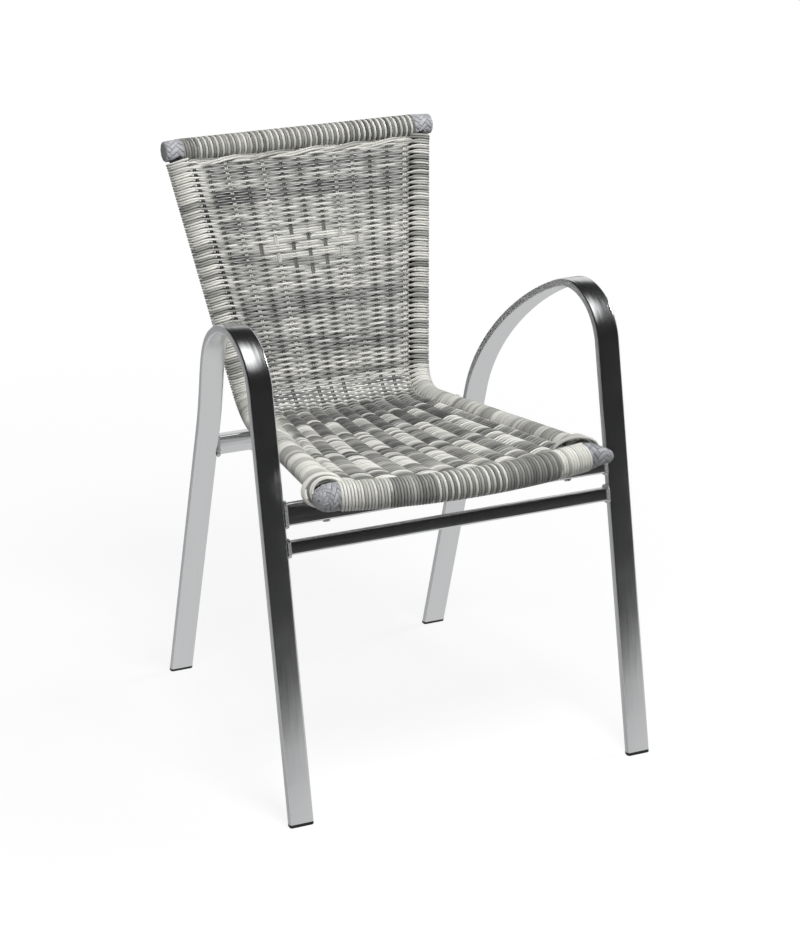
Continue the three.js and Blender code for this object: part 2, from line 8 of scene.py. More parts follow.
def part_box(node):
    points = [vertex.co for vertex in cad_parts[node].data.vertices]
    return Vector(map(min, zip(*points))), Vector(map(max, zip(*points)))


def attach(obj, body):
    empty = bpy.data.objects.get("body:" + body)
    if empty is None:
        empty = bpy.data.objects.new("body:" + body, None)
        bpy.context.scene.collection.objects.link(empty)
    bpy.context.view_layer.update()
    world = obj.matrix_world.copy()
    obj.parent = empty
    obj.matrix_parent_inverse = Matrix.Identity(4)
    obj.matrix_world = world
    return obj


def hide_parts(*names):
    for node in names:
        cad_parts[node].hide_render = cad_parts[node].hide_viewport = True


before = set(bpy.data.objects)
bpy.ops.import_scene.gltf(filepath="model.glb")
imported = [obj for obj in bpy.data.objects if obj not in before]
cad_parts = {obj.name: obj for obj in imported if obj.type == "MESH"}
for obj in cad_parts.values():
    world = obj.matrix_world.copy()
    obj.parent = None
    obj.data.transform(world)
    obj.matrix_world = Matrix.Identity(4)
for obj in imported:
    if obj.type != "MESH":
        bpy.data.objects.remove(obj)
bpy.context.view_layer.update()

# Side arches. Each is one flat polished aluminium tube, bent three times on a mandrel from
# the front foot over the arm to the rear foot, with both ends then sawn level to the floor.
# The bends are spun here, and the rear half is drawn in towards the narrower rear feet.


def pick_nothing():
    if bpy.context.object and bpy.context.object.mode != "OBJECT":
        bpy.ops.object.mode_set(mode="OBJECT")
    bpy.ops.object.select_all(action="DESELECT")


def start_section(name, width, depth, corner):
    """A rounded rectangle as one face at the origin, left in edit mode."""
    pick_nothing()
    bpy.ops.mesh.primitive_plane_add(size=1)
    piece = bpy.context.object
    piece.name = piece.data.name = name
    bpy.ops.object.mode_set(mode="EDIT")
    bpy.ops.mesh.select_all(action="SELECT")
    bpy.ops.transform.resize(value=(width, depth, 1))
    bpy.ops.mesh.bevel(offset=corner, segments=5, affect="VERTICES")
    return piece


def pick_points(piece, wanted):
    """Selects the points of the piece in edit mode that pass a test of their place."""
    mesh = bmesh.from_edit_mesh(piece.data)
    for point in mesh.verts:
        point.select_set(wanted(point.co))
    mesh.select_flush(True)
    mesh.select_flush(False)
    bmesh.update_edit_mesh(piece.data)


def pick(piece, kind, wanted):
    """Selects the edges or faces of the piece in edit mode that pass a test."""
    bpy.ops.mesh.select_mode(type=kind)
    bpy.ops.mesh.select_all(action="DESELECT")
    mesh = bmesh.from_edit_mesh(piece.data)
    for part in mesh.edges if kind == "EDGE" else mesh.faces:
        part.select_set(wanted(part))
    bmesh.update_edit_mesh(piece.data)


def extrude_by(step):
    bpy.ops.mesh.extrude_region_move(TRANSFORM_OT_translate={"value": tuple(step)})


def close_mesh(piece, merge=0.00001):
    """Merges doubles, turns every face outwards and goes back to object mode."""
    bpy.context.view_layer.objects.active = piece
    if piece.mode != "EDIT":
        bpy.ops.object.mode_set(mode="EDIT")
    bpy.ops.mesh.select_all(action="SELECT")
    bpy.ops.mesh.remove_doubles(threshold=merge)
    bpy.ops.mesh.normals_make_consistent(inside=False)
    bpy.ops.object.mode_set(mode="OBJECT")


def smooth(piece, degrees=35):
    pick_nothing()
    piece.select_set(True)
    bpy.context.view_layer.objects.active = piece
    bpy.ops.object.shade_smooth_by_angle(angle=math.radians(degrees))


def hand_over(piece, material, slot, *nodes):
    """Gives a finished piece its material, hangs it under the root and hides the CAD nodes it stands
    for. The slot is not used.
    """
    piece.data.materials.clear()
    piece.data.materials.append(material)
    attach(piece, "root")
    if nodes:
        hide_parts(*nodes)


def feed(tree, node, inputs):
    """Sets a node's inputs, each to a value, an output, or another node's first output."""
    for name, value in inputs.items():
        if isinstance(value, bpy.types.Node):
            value = value.outputs[0]
        if isinstance(value, bpy.types.NodeSocket):
            tree.links.new(value, node.inputs[name])
        else:
            node.inputs[name].default_value = value


def add_node(tree, kind, inputs=None, **settings):
    """A shader node with its settings and its inputs."""
    node = tree.nodes.new("ShaderNode" + kind)
    for name, value in settings.items():
        setattr(node, name, value)
    feed(tree, node, inputs or {})
    return node


def add_ramp(tree, share, *stops):
    """A colour ramp over a share, from stops of a place and a colour."""
    ramp = add_node(tree, "ValToRGB", {"Fac": share})
    elements = ramp.color_ramp.elements
    for _ in stops[2:]:
        elements.new(0.5)
    for element, (place, colour) in zip(elements, stops):
        element.position = place
        element.color = (*colour, 1)
    return ramp


def add_math(tree, operation, *values):
    return add_node(tree, "Math", dict(enumerate(values)), operation=operation)


def add_noise(tree, place, scale, detail, stretch=None):
    """Noise at a place, which can be stretched first."""
    if stretch:
        place = add_node(tree, "Mapping", {"Vector": place, "Scale": stretch})
    return add_node(tree, "TexNoise", {"Vector": place, "Scale": scale, "Detail": detail})


def add_range(tree, value, from_min, from_max, to_min, to_max):
    return add_node(tree, "MapRange", {
        "Value": value, "From Min": from_min, "From Max": from_max,
        "To Min": to_min, "To Max": to_max,
    })


def add_bump(tree, height, strength, distance):
    return add_node(tree, "Bump", {"Height": height, "Strength": strength, "Distance": distance})


def mix_colours(tree, share, first, second, blend="MIX", clamped=True):
    """The output of a colour mix. A plain number as a colour means a grey."""
    colours = [(c, c, c, 1) if isinstance(c, (int, float)) else c for c in (first, second)]
    return add_node(
        tree, "Mix", {"Factor": share, "A": colours[0], "B": colours[1]},
        data_type="RGBA", blend_type=blend, clamp_factor=clamped,
    ).outputs["Result"]


def new_material(name):
    material = bpy.data.materials.new(name)
    material.use_nodes = True
    tree = material.node_tree
    return material, tree, next(n for n in tree.nodes if n.type == "BSDF_PRINCIPLED")


def new_group(name, takes, gives):
    """A node group with named inputs and outputs, as (name, kind, value) lists."""
    group = bpy.data.node_groups.new(name, "ShaderNodeTree")
    for label, kind, value in takes:
        socket = group.interface.new_socket(label, in_out="INPUT", socket_type=kind)
        if value is not None:
            socket.default_value = value
    for label, kind in gives:
        group.interface.new_socket(label, in_out="OUTPUT", socket_type=kind)
    return group, group.nodes.new("NodeGroupInput"), group.nodes.new("NodeGroupOutput")


finish_outputs = [
    ("Color", "NodeSocketColor"), ("Roughness", "NodeSocketFloat"), ("Height", "NodeSocketFloat"),
]

# Fine lines that a polishing belt leaves along the metal, long low waves, and faint smudges
# of handling. The narrow edges that face sideways are satin, without lines.
polish_marks, marks_in, marks_out = new_group(
    "polish_marks",
    [("Vector", "NodeSocketVector", None), ("Base Roughness", "NodeSocketFloat", 0.1)],
    finish_outputs,
)
marks_place = marks_in.outputs["Vector"]
lines = add_noise(polish_marks, marks_place, 1, 3, stretch=(6, 1400, 1400))
waves = add_noise(polish_marks, marks_place, 1, 1, stretch=(9, 120, 120))
smudges = add_noise(polish_marks, marks_place, 22, 4)
surface = add_node(polish_marks, "NewGeometry")
facing = add_node(polish_marks, "SeparateXYZ", {"Vector": surface.outputs["Normal"]})
sideways = add_math(polish_marks, "ABSOLUTE", facing)
broad_face = add_range(polish_marks, sideways, 0.9, 0.5, 0, 1)
broad_lines = add_math(polish_marks, "MULTIPLY", lines, broad_face)
base_rough = marks_in.outputs["Base Roughness"]
rougher = add_math(polish_marks, "MULTIPLY_ADD", broad_lines, 0.10, base_rough)
smudged = add_math(polish_marks, "MULTIPLY_ADD", smudges, 0.10, rougher)
satin_edge = add_range(polish_marks, broad_face, 0, 1, 0.6, 0)
edge_rough = add_math(polish_marks, "ADD", smudged, satin_edge)
relief = add_math(polish_marks, "MULTIPLY_ADD", broad_lines, 0.06, waves)
broad_relief = add_math(polish_marks, "MULTIPLY", relief, broad_face)
tint = add_ramp(polish_marks, broad_lines, (0, (0.80, 0.81, 0.82)), (1, (0.90, 0.905, 0.91)))
feed(polish_marks, marks_out, {"Color": tint, "Roughness": edge_rough, "Height": broad_relief})


def metal_material(name, base_roughness, attribute=None, tint=1):
    """Aluminium with polishing lines that run along an attribute or along X."""
    material, tree, shader = new_material(name)
    if attribute:
        where = add_node(tree, "Attribute", attribute_name=attribute).outputs["Vector"]
    else:
        where = add_node(tree, "TexCoord").outputs["Object"]
    marks = add_node(
        tree, "Group", {"Vector": where, "Base Roughness": base_roughness}, node_tree=polish_marks
    )
    feed(tree, shader, {
        "Base Color": mix_colours(tree, 1, marks.outputs["Color"], tint, "MULTIPLY"),
        "Roughness": marks.outputs["Roughness"],
        "Metallic": 1,
        "Normal": add_bump(tree, marks.outputs["Height"], 1, 0.0003),
    })
    return material


arch_width, arch_depth, arch_corner, arch_wall = 0.034, 0.011, 0.0034, 0.0016
toe_y = -0.280863
front_leg, front_lean = 0.578, math.radians(9.14)
arm_bends = [
    (0.079, math.radians(50.7), 16),
    (0.099, math.radians(50), 16),
    (0.354, math.radians(48.9), 24),
]
front_half, rear_half = 0.2695, 0.2265
bend_marks = 40
sole = 0.0045
# Each leg starts this much too long and is then sawn off at the sole.
spare = 0.02

polished = metal_material("polished_aluminium", 0.11, "grain")


def across_path(heading):
    """Directions along the tube and in from its outer face, for a heading above the floor."""
    along = Vector((0, math.cos(heading), math.sin(heading)))
    return along, Vector((0, math.sin(heading), -math.cos(heading)))


# The outer face's path, as places and headings, to draw in the rear half and lay the grain.
heading = math.pi / 2 - front_lean
place = Vector((0, toe_y, 0))
path_points, path_runs = [place.copy()], [0.0]
along, inward = across_path(heading)
place = place + along * front_leg
path_points.append(place.copy())
path_runs.append(front_leg)
bend_starts = []
for radius, turn, _ in arm_bends:
    bend_starts.append((place.copy(), heading))
    centre = place + across_path(heading)[1] * radius
    for i in range(1, bend_marks + 1):
        inward = across_path(heading - turn * i / bend_marks)[1]
        path_points.append(centre - inward * radius)
        path_runs.append(path_runs[-1] + radius * turn / bend_marks)
    heading -= turn
    place = path_points[-1].copy()
rear_heading = heading
rear_length = place.z / -math.sin(heading)
path_points.append(place + across_path(heading)[0] * rear_length)
path_runs.append(path_runs[-1] + rear_length)
path_table = np.array([(p.y, p.z) for p in path_points])
run_table = np.array(path_runs)
fine_runs = np.arange(0, run_table[-1], 0.0005)
fine_path = np.stack([np.interp(fine_runs, run_table, path_table[:, i]) for i in (0, 1)], 1)
crown_run = fine_runs[np.argmax(fine_path[:, 1])]
rear_run = run_table[-2]

for side_name, side in (("left", -1), ("right", 1)):
    arch = start_section(f"arch_{side_name}", arch_width, arch_depth, arch_corner)
    bpy.ops.mesh.delete(type="ONLY_FACE")
    bpy.ops.object.mode_set(mode="OBJECT")
    begin, heading = bend_starts[0]
    along, inward = across_path(heading)
    arch.location = begin + inward * arch_depth / 2
    arch.rotation_euler = (-front_lean, 0, 0)
    bpy.ops.object.transform_apply(location=True, rotation=True, scale=True)
    top_of_leg = begin + inward * arch_depth / 2
    bpy.ops.object.mode_set(mode="EDIT")
    bpy.ops.mesh.select_all(action="SELECT")
    extrude_by(-along * (front_leg + spare))
    pick_points(arch, lambda co: (co - top_of_leg).dot(along) > -0.0001)
    for (begin, heading), (radius, turn, steps) in zip(bend_starts, arm_bends):
        centre = begin + across_path(heading)[1] * radius
        bpy.ops.mesh.spin(steps=steps, angle=turn, center=centre, axis=(1, 0, 0))
    extrude_by(across_path(rear_heading)[0] * (rear_length + spare))
    bpy.ops.mesh.select_all(action="SELECT")
    bpy.ops.mesh.bisect(
        plane_co=(0, 0, sole), plane_no=(0, 0, 1), use_fill=False, clear_inner=True
    )
    close_mesh(arch)
    points = np.array([v.co for v in arch.data.vertices])
    gap = ((points[:, None, 1:] - fine_path[None]) ** 2).sum(2)
    runs = fine_runs[gap.argmin(1)]
    depth = np.sqrt(gap.min(1))
    share = np.clip((runs - crown_run) / (rear_run - crown_run), 0, 1)
    drawn = share * share * (3 - 2 * share)
    outer = front_half + (rear_half - front_half) * drawn - arch_width / 2
    for v, x in zip(arch.data.vertices, outer):
        v.co.x += side * x
    wall = arch.modifiers.new("wall", "SOLIDIFY")
    wall.thickness = arch_wall
    wall.offset = -1
    grain = arch.data.attributes.new("grain", "FLOAT_VECTOR", "POINT")
    grain.data.foreach_set("vector", np.stack([runs, points[:, 0], depth], 1).ravel())
    bpy.ops.object.modifier_apply(modifier="wall")
    smooth(arch)
    hand_over(arch, polished, "polished_aluminium", f"side_arch_{side_name}")

# Foot glides. Black moulded polyethylene, with a chamfered sole as wide as the tube and a
# tapered plug pressed up into its bore. Walking on stone has left the sole slightly grey.

glide_plastic, tree, shader = new_material("glide_plastic")
place = add_node(tree, "TexCoord").outputs["Object"]
scuffs = add_noise(tree, place, 420, 5)
scuffed = add_ramp(tree, scuffs, (0.4, (0.008, 0.008, 0.009)), (0.75, (0.035, 0.035, 0.036)))
bump = add_bump(tree, scuffs, 0.25, 0.0002)
feed(tree, shader, {"Base Color": scuffed, "Roughness": 0.5, "Normal": bump})

fit = 0.0003
chamfer = 0.0008
plug, plug_taper = 0.022, 0.86
rear_lean = -math.pi / 2 - rear_heading
foot_ends = {
    "front": (toe_y, front_lean, 1, front_half),
    "rear": (path_table[-1, 0], rear_lean, -1, rear_half),
}
for end_name, (edge_y, lean, inward_y, half) in foot_ends.items():
    for side_name, side in (("left", -1), ("right", 1)):
        glide = start_section(
            f"{end_name}_glide_{side_name}", arch_width, arch_depth / math.cos(lean), arch_corner
        )
        chamfered = (1 - 2 * chamfer / arch_width, 1 - 2 * chamfer / arch_depth, 1)
        bpy.ops.transform.resize(value=chamfered)
        bpy.ops.transform.translate(value=(
            side * (half - arch_width / 2),
            edge_y + inward_y * arch_depth / math.cos(lean) / 2,
            0,
        ))
        middle = Vector((side * (half - arch_width / 2), edge_y + inward_y * arch_depth / 2, 0))
        rise = Vector((0, math.tan(lean), 1))
        extrude_by(rise * chamfer)
        bpy.ops.transform.resize(
            value=(1 / chamfered[0], 1 / chamfered[1], 1), center_override=middle
        )
        extrude_by(rise * (sole - fit - chamfer))
        bpy.ops.mesh.inset(thickness=arch_wall + fit)
        extrude_by(rise * plug)
        bpy.ops.transform.resize(
            value=(plug_taper, plug_taper, 1), center_override=middle + rise * (sole + plug)
        )
        close_mesh(glide)
        smooth(glide)
        hand_over(glide, glide_plastic, "glide_plastic", f"{end_name}_foot_glide_{side_name}")

# Crossbars. Three lengths of rectangular aluminium tube with rounded edges, sawn to length
# and welded between the arches: two across the front legs, leaning with them, and one
# across the rear legs.

bar_polish = metal_material("bar_aluminium", 0.07)
bar_corner, bar_wall, bar_bore = 0.0024, 0.0016, 0.02
bar_sizes = {
    "front_seat_crossbar": (0.012, 0.030, front_lean),
    "front_lower_crossbar": (0.012, 0.0185, front_lean),
    "rear_crossbar": (0.018, 0.027, 0),
}
bar_places = {}
for node, (bar_depth, bar_height, bar_lean) in bar_sizes.items():
    low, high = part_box(node)
    middle = (low + high) / 2
    half_length = (high.x - low.x) / 2
    bar_places[node] = (middle, half_length)
    pick_nothing()
    bpy.ops.mesh.primitive_cube_add(size=1)
    bar = bpy.context.object
    bar.name = bar.data.name = node.replace("crossbar", "bar")
    bar.scale = (half_length * 2, bar_depth, bar_height)
    bar.rotation_euler = (-bar_lean, 0, 0)
    bar.location = middle
    bpy.ops.object.transform_apply(location=True, rotation=True, scale=True)
    bpy.ops.object.mode_set(mode="EDIT")
    pick(bar, "EDGE", lambda edge: abs(edge.verts[0].co.x - edge.verts[1].co.x) > half_length)
    bpy.ops.mesh.bevel(offset=bar_corner, segments=5, affect="EDGES")
    pick(bar, "FACE", lambda face: abs(face.normal.x) > 0.9)
    bpy.ops.mesh.inset(thickness=bar_wall, use_individual=True)
    for sign in (-1, 1):
        pick(bar, "FACE", lambda face: (
            face.normal.x * sign > 0.9 and face.calc_area() > bar_depth * bar_height / 2
        ))
        extrude_by((-sign * bar_bore, 0, 0))
    bpy.ops.mesh.select_mode(type="VERT")
    close_mesh(bar)
    smooth(bar)
    hand_over(bar, bar_polish, "polished_aluminium", node)

# Weld beads. A hand-laid aluminium fillet runs round each bar end, with the overlapping
# ripples of the torch. It is left bright and unpolished.

weld_metal, tree, shader = new_material("weld_metal")
place = add_node(tree, "TexCoord").outputs["Object"]
scale_marks = add_noise(tree, place, 700, 4)
weld_tone = add_ramp(tree, scale_marks, (0, (0.55, 0.55, 0.55)), (1, (0.92, 0.92, 0.92)))
weld_rough = add_range(tree, scale_marks, 0, 1, 0.16, 0.42)
bump = add_bump(tree, scale_marks, 0.4, 0.0003)
feed(tree, shader, {
    "Base Color": weld_tone, "Roughness": weld_rough, "Metallic": 1, "Normal": bump,
})


def unit(vectors):
    return vectors / np.linalg.norm(vectors, axis=-1, keepdims=True)


def run_lengths(path):
    """How far along a path each of its points lies."""
    return np.concatenate([[0], np.cumsum(np.linalg.norm(np.diff(path, axis=0), axis=1))])


def strand_shell(path, radius, tones, sides=8, closed=False):
    """Points, faces, tones and lay of a round strand along a path, with the least twist."""
    path = np.asarray(path, float)
    count = len(path)
    if closed:
        along = unit(np.roll(path, -1, 0) - np.roll(path, 1, 0))
    else:
        along = unit(np.gradient(path, axis=0))
    side = np.zeros_like(path)
    start = np.cross(along[0], (0.0, 0.0, 1.0))
    if np.linalg.norm(start) < 0.2:
        start = np.cross(along[0], (0.0, 1.0, 0.0))
    side[0] = start / np.linalg.norm(start)
    for i in range(1, count):
        turned = side[i - 1] - along[i] * side[i - 1].dot(along[i])
        side[i] = turned / math.sqrt(turned.dot(turned))
    lift = np.cross(along, side)
    angles = np.arange(sides) / sides * 2 * math.pi
    radii = np.broadcast_to(np.asarray(radius, float), (count,))[:, None, None]
    angles = angles[None, :, None]
    ring = side[:, None] * np.cos(angles) + lift[:, None] * np.sin(angles)
    points = (path[:, None] + radii * ring).reshape(-1, 3)
    lengths = run_lengths(path)
    spans = count if closed else count - 1
    near = np.arange(spans)[:, None] * sides
    far = ((np.arange(spans)[:, None] + 1) % count) * sides
    j = np.arange(sides)[None]
    k = (j + 1) % sides
    faces = np.stack([near + j, near + k, far + k, far + j], -1).reshape(-1, 4)
    u0 = np.broadcast_to(j / sides, (spans, sides))
    u1 = u0 + 1 / sides
    v0 = np.broadcast_to(lengths[:spans, None], (spans, sides))
    step = np.linalg.norm(np.roll(path, -1, 0) - path, axis=1)[:spans, None]
    v1 = v0 + step
    lay = np.stack([u0, v0, u1, v0, u1, v1, u0, v1], -1).reshape(-1, 2)
    tones = np.repeat(np.broadcast_to(np.asarray(tones, float), (count,)), sides)
    return points, faces, tones, lay, (None if closed else (count, sides))


def mesh_piece(name, points, faces):
    """A linked object from the points and faces of its mesh."""
    mesh = bpy.data.meshes.new(name)
    mesh.from_pydata(points.reshape(-1, 3).tolist(), [], faces)
    piece = bpy.data.objects.new(name, mesh)
    bpy.context.scene.collection.objects.link(piece)
    return piece


def lay_on(piece, tones, lay):
    """Gives a piece's points their tones, and its corners their places along the strand."""
    tone = piece.data.attributes.new("tone", "FLOAT", "POINT")
    tone.data.foreach_set("value", np.ravel(tones))
    uv = piece.data.uv_layers.new(name="lay")
    uv.data.foreach_set("uv", lay.ravel())


def strand_piece(name, shells):
    """One mesh from several strands, with a tone attribute and a UV map along each strand."""
    points, faces, tones, lays, base = [], [], [], [], 0
    ends = []
    for shell_points, shell_faces, shell_tones, shell_lay, capped in shells:
        points.append(shell_points)
        faces.append(shell_faces + base)
        tones.append(shell_tones)
        lays.append(shell_lay)
        if capped:
            count, sides = capped
            ends.append([base + i for i in range(sides)][::-1])
            ends.append([base + (count - 1) * sides + i for i in range(sides)])
        base += len(shell_points)
    quads = np.concatenate(faces).tolist()
    piece = mesh_piece(name, np.concatenate(points), quads + ends)
    lay = np.zeros((len(piece.data.loops), 2))
    lay[: 4 * len(quads)] = np.concatenate(lays)
    lay_on(piece, np.concatenate(tones), lay)
    piece.data.shade_smooth()
    return piece


bead_radius, bead_inset = 0.0027, 0.0009
ripple_length, ripple_rise, ripple_steps = 0.0021, 0.0009, 5
wobble_rise = 0.00018
for node, (middle, half_length) in bar_places.items():
    bar_depth, bar_height, bar_lean = bar_sizes[node]
    half_y, half_z = bar_depth / 2 + bead_inset, bar_height / 2 + bead_inset
    corner = bar_corner + bead_inset
    for side_name, side in (("left", -1), ("right", 1)):
        outline = []
        for turn_start, sign_y, sign_z in ((0, 1, 1), (1, -1, 1), (2, -1, -1), (3, 1, -1)):
            for i in range(7):
                angle = (turn_start + i / 6) * math.pi / 2
                outline.append((
                    sign_y * (half_y - corner) + corner * math.cos(angle),
                    sign_z * (half_z - corner) + corner * math.sin(angle),
                ))
        outline = np.array(outline + outline[:1])
        lengths = run_lengths(outline)
        ripples = int(round(lengths[-1] / ripple_length))
        places = np.linspace(0, lengths[-1], ripples * ripple_steps, endpoint=False)
        deep = np.interp(places, lengths, outline[:, 0])
        tall = np.interp(places, lengths, outline[:, 1])
        path = np.zeros((len(places), 3))
        path[:, 0] = middle.x + side * (half_length - bead_inset)
        path[:, 1] = middle.y + deep * math.cos(bar_lean) + tall * math.sin(bar_lean)
        path[:, 2] = middle.z - deep * math.sin(bar_lean) + tall * math.cos(bar_lean)
        phase = (np.arange(len(places)) % ripple_steps) / ripple_steps
        wobble = wobble_rise * np.sin(places * 900 + side + middle.z * 40)
        radius = bead_radius + wobble - ripple_rise * phase
        bead = strand_piece(
            f"{node}_bead_{side_name}".replace("crossbar", "bar"),
            [strand_shell(path, radius, 0, sides=10, closed=True)],
        )
        hand_over(bead, weld_metal, "weld_metal", f"{node}_weld_{side_name}")

# Shell screws. Four pan-head steel screws rise through the crossbars into the side tubes,
# and are driven from below.

screw_steel = metal_material("screw_steel", 0.18)
head_radius, head_height, head_corner = 0.005, 0.0022, 0.0012
shank_radius, recess, head_gap = 0.0025, 0.0014, 0.0003
for node in ("front_seat_crossbar", "rear_crossbar"):
    bar_depth, bar_height, bar_lean = bar_sizes[node]
    middle = bar_places[node][0]
    rise = Vector((0, math.sin(bar_lean), math.cos(bar_lean)))
    for side_name, side in (("left", -1), ("right", 1)):
        screw_node = f"{node}_screw_{side_name}"
        low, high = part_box(screw_node)
        foot = middle - rise * (bar_height / 2 + head_gap + head_height)
        foot.x = (low.x + high.x) / 2
        screw_length = (high.z - foot.z - shank_radius * rise.y) / rise.z
        pick_nothing()
        bpy.ops.mesh.primitive_cylinder_add(
            vertices=32, radius=head_radius, depth=head_height, location=(0, 0, head_height / 2)
        )
        screw = bpy.context.object
        screw.name = screw.data.name = screw_node.replace("crossbar", "bar")
        bpy.ops.object.transform_apply(location=True, rotation=True, scale=True)
        bpy.ops.object.mode_set(mode="EDIT")
        pick(screw, "FACE", lambda face: face.normal.z > 0.9)
        bpy.ops.mesh.inset(thickness=head_radius - shank_radius)
        extrude_by((0, 0, screw_length - head_height))
        pick(screw, "FACE", lambda face: (
            face.normal.z < -0.9 and face.calc_center_median().z < 0.001
        ))
        bpy.ops.mesh.bevel(offset=head_corner, segments=4, affect="EDGES")
        bpy.ops.mesh.inset(thickness=recess)
        extrude_by((0, 0, recess))
        bpy.ops.transform.resize(value=(0.45, 0.45, 1), center_override=(0, 0, 0))
        bpy.ops.mesh.select_mode(type="VERT")
        close_mesh(screw)
        screw.rotation_euler = (-bar_lean, 0, 0)
        screw.location = foot
        bpy.ops.object.transform_apply(location=True, rotation=True, scale=True)
        smooth(screw)
        hand_over(screw, screw_steel, "screw_steel", screw_node)

# Shell frame tubes. Round aluminium tube, bent at the waist and left as drawn, because the
# strands cover it. The CAD nodes stay and take the mill finish, darkened to a third. That is
# painted shade: where the tube shows between the strands, it looks as dark as their shadow.
# The front tube is made again a little shorter, so that its ends stay inside the pointed
# corner knobs.

shade_dark_mill_finish = metal_material("shade_dark_mill_finish", 0.35, tint=0.3)
for node in ("shell_side_tube_left", "shell_side_tube_right", "shell_top_tube"):
    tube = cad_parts[node]
    if not tube.material_slots:
        tube.data.materials.append(shade_dark_mill_finish)
    for held in tube.material_slots:
        held.material = shade_dark_mill_finish

# Stakes. Fourteen pairs of round polyethylene strand run unbroken from the front rail to the
# top rail, with their ends under the windings. Twelve pairs carry the weft, and one pair
# beside each side tube lies in the valley where the rows dive to the tube.

# The middle line of the right side tube: its front end, the corner of its bend, its top end.
line_front = np.array((0.185, 0.012 + toe_y, 0.445))
line_waist = np.array((0.132, 0.452 + toe_y, 0.4205))
line_top = np.array((0.189, 0.560 + toe_y, 0.795))
waist_tangent = 0.0494
line_before = line_waist + unit(line_front - line_waist) * waist_tangent
line_after = line_waist + unit(line_top - line_waist) * waist_tangent
t = np.linspace(0, 1, 300)[:, None]
waist_curve = (1 - t) ** 2 * line_before + 2 * (1 - t) * t * line_waist + t ** 2 * line_after
line_points = np.vstack([
    line_front + (line_before - line_front) * np.linspace(0, 1, 400)[:-1, None],
    waist_curve,
    line_after + (line_top - line_after) * np.linspace(0, 1, 400)[1:, None],
])
line_runs = run_lengths(line_points)
line_length = line_runs[-1]
line_along = unit(np.gradient(line_points, line_runs, axis=0))
line_up = unit(np.cross((1.0, 0.0, 0.0), line_along))
waist_run = np.linalg.norm(line_before - line_front) + run_lengths(waist_curve)[-1] / 2


def along_line(table, run):
    return np.stack([np.interp(run, line_runs, table[:, i]) for i in range(3)], -1)


side_tube_radius = 0.0125
# How far the weave ends from the side tube's middle line, and how high it lies over it.
panel_gap = 0.0168
panel_raise = 0.003
# How far the weave sinks in the middle, and how the front rail bows forward and dips.
seat_dish, back_dish = 0.007, 0.003
front_bow, front_dip = 0.020, 0.004
front_rise, front_rise_run = 0.005, 0.045
seat_start = 0.023
front_spread, spread_run = 0.004, 0.40


def shell_point(run, across, height):
    """A point of the woven shell: run along the side line, share across, and height."""
    run, across, height = np.broadcast_arrays(
        np.asarray(run, float), np.asarray(across, float), np.asarray(height, float)
    )
    line = along_line(line_points, run)
    up = along_line(line_up, run)
    half = line[..., 0] - panel_gap + front_spread * np.clip(1 - run / spread_run, 0, 1)
    middle = np.clip(1 - across ** 2, 0, 1)
    seat_share = np.clip((run - seat_start) / (waist_run - seat_start), 0, 1)
    back_share = np.clip((run - waist_run) / (line_length - 0.02 - waist_run), 0, 1)
    dish = seat_dish * np.sin(seat_share * math.pi) + back_dish * np.sin(back_share * math.pi)
    bow = (1 - seat_share) ** 2 * middle
    rise = front_rise * np.exp(-((run / front_rise_run) ** 2))
    point = [across * half, line[..., 1] - front_bow * bow, line[..., 2] - front_dip * bow]
    return np.stack(point, -1) + up * (panel_raise + height + (rise - dish) * middle)[..., None]


stake_count = 12


def stake_across(k, run):
    """Share across the shell of stake k. They stand a little closer in the back."""
    first = np.interp(run, (0.2, 0.38), (-0.935, -0.87))
    return first + (0.955 - first) * k / (stake_count - 1)


# The colour of extruded strand: tone 0 is cream, 1 is dark grey. Fine ribs from the die run
# along it, and the dye drifts slowly.
strand_finish, strand_in, strand_out = new_group(
    "strand_finish",
    [("Tone", "NodeSocketFloat", 0.0), ("Lay", "NodeSocketVector", None)],
    finish_outputs,
)
strand_lay = strand_in.outputs["Lay"]
ribs = add_noise(strand_finish, strand_lay, 1, 3, stretch=(9, 14, 1))
drift = add_noise(strand_finish, strand_lay, 1, 2, stretch=(0.6, 9, 1))
drift_centred = add_math(strand_finish, "SUBTRACT", drift, 0.5)
drifted = add_math(
    strand_finish, "MULTIPLY_ADD", drift_centred, 0.30, strand_in.outputs["Tone"]
)
ribs_centred = add_math(strand_finish, "SUBTRACT", ribs, 0.5)
ribbed = add_math(strand_finish, "MULTIPLY_ADD", ribs_centred, 0.35, drifted)
dye = add_ramp(
    strand_finish, ribbed,
    (0, (0.73, 0.725, 0.68)), (0.5, (0.29, 0.29, 0.27)), (1, (0.085, 0.085, 0.082)),
)
sheen = add_range(strand_finish, ribs, 0, 1, 0.34, 0.55)
feed(strand_finish, strand_out, {"Color": dye, "Roughness": sheen, "Height": ribs})


def strand_material(name):
    material, tree, shader = new_material(name)
    tone = add_node(tree, "Attribute", attribute_name="tone").outputs["Fac"]
    lay = add_node(tree, "UVMap", uv_map="lay")
    finish = add_node(tree, "Group", {"Tone": tone, "Lay": lay}, node_tree=strand_finish)
    feed(tree, shader, {
        "Base Color": finish.outputs["Color"],
        "Roughness": finish.outputs["Roughness"],
        "Normal": add_bump(tree, finish.outputs["Height"], 0.35, 0.0002),
    })
    return material


weft_material = strand_material("weft_strand")
stake_material = strand_material("stake_strand")

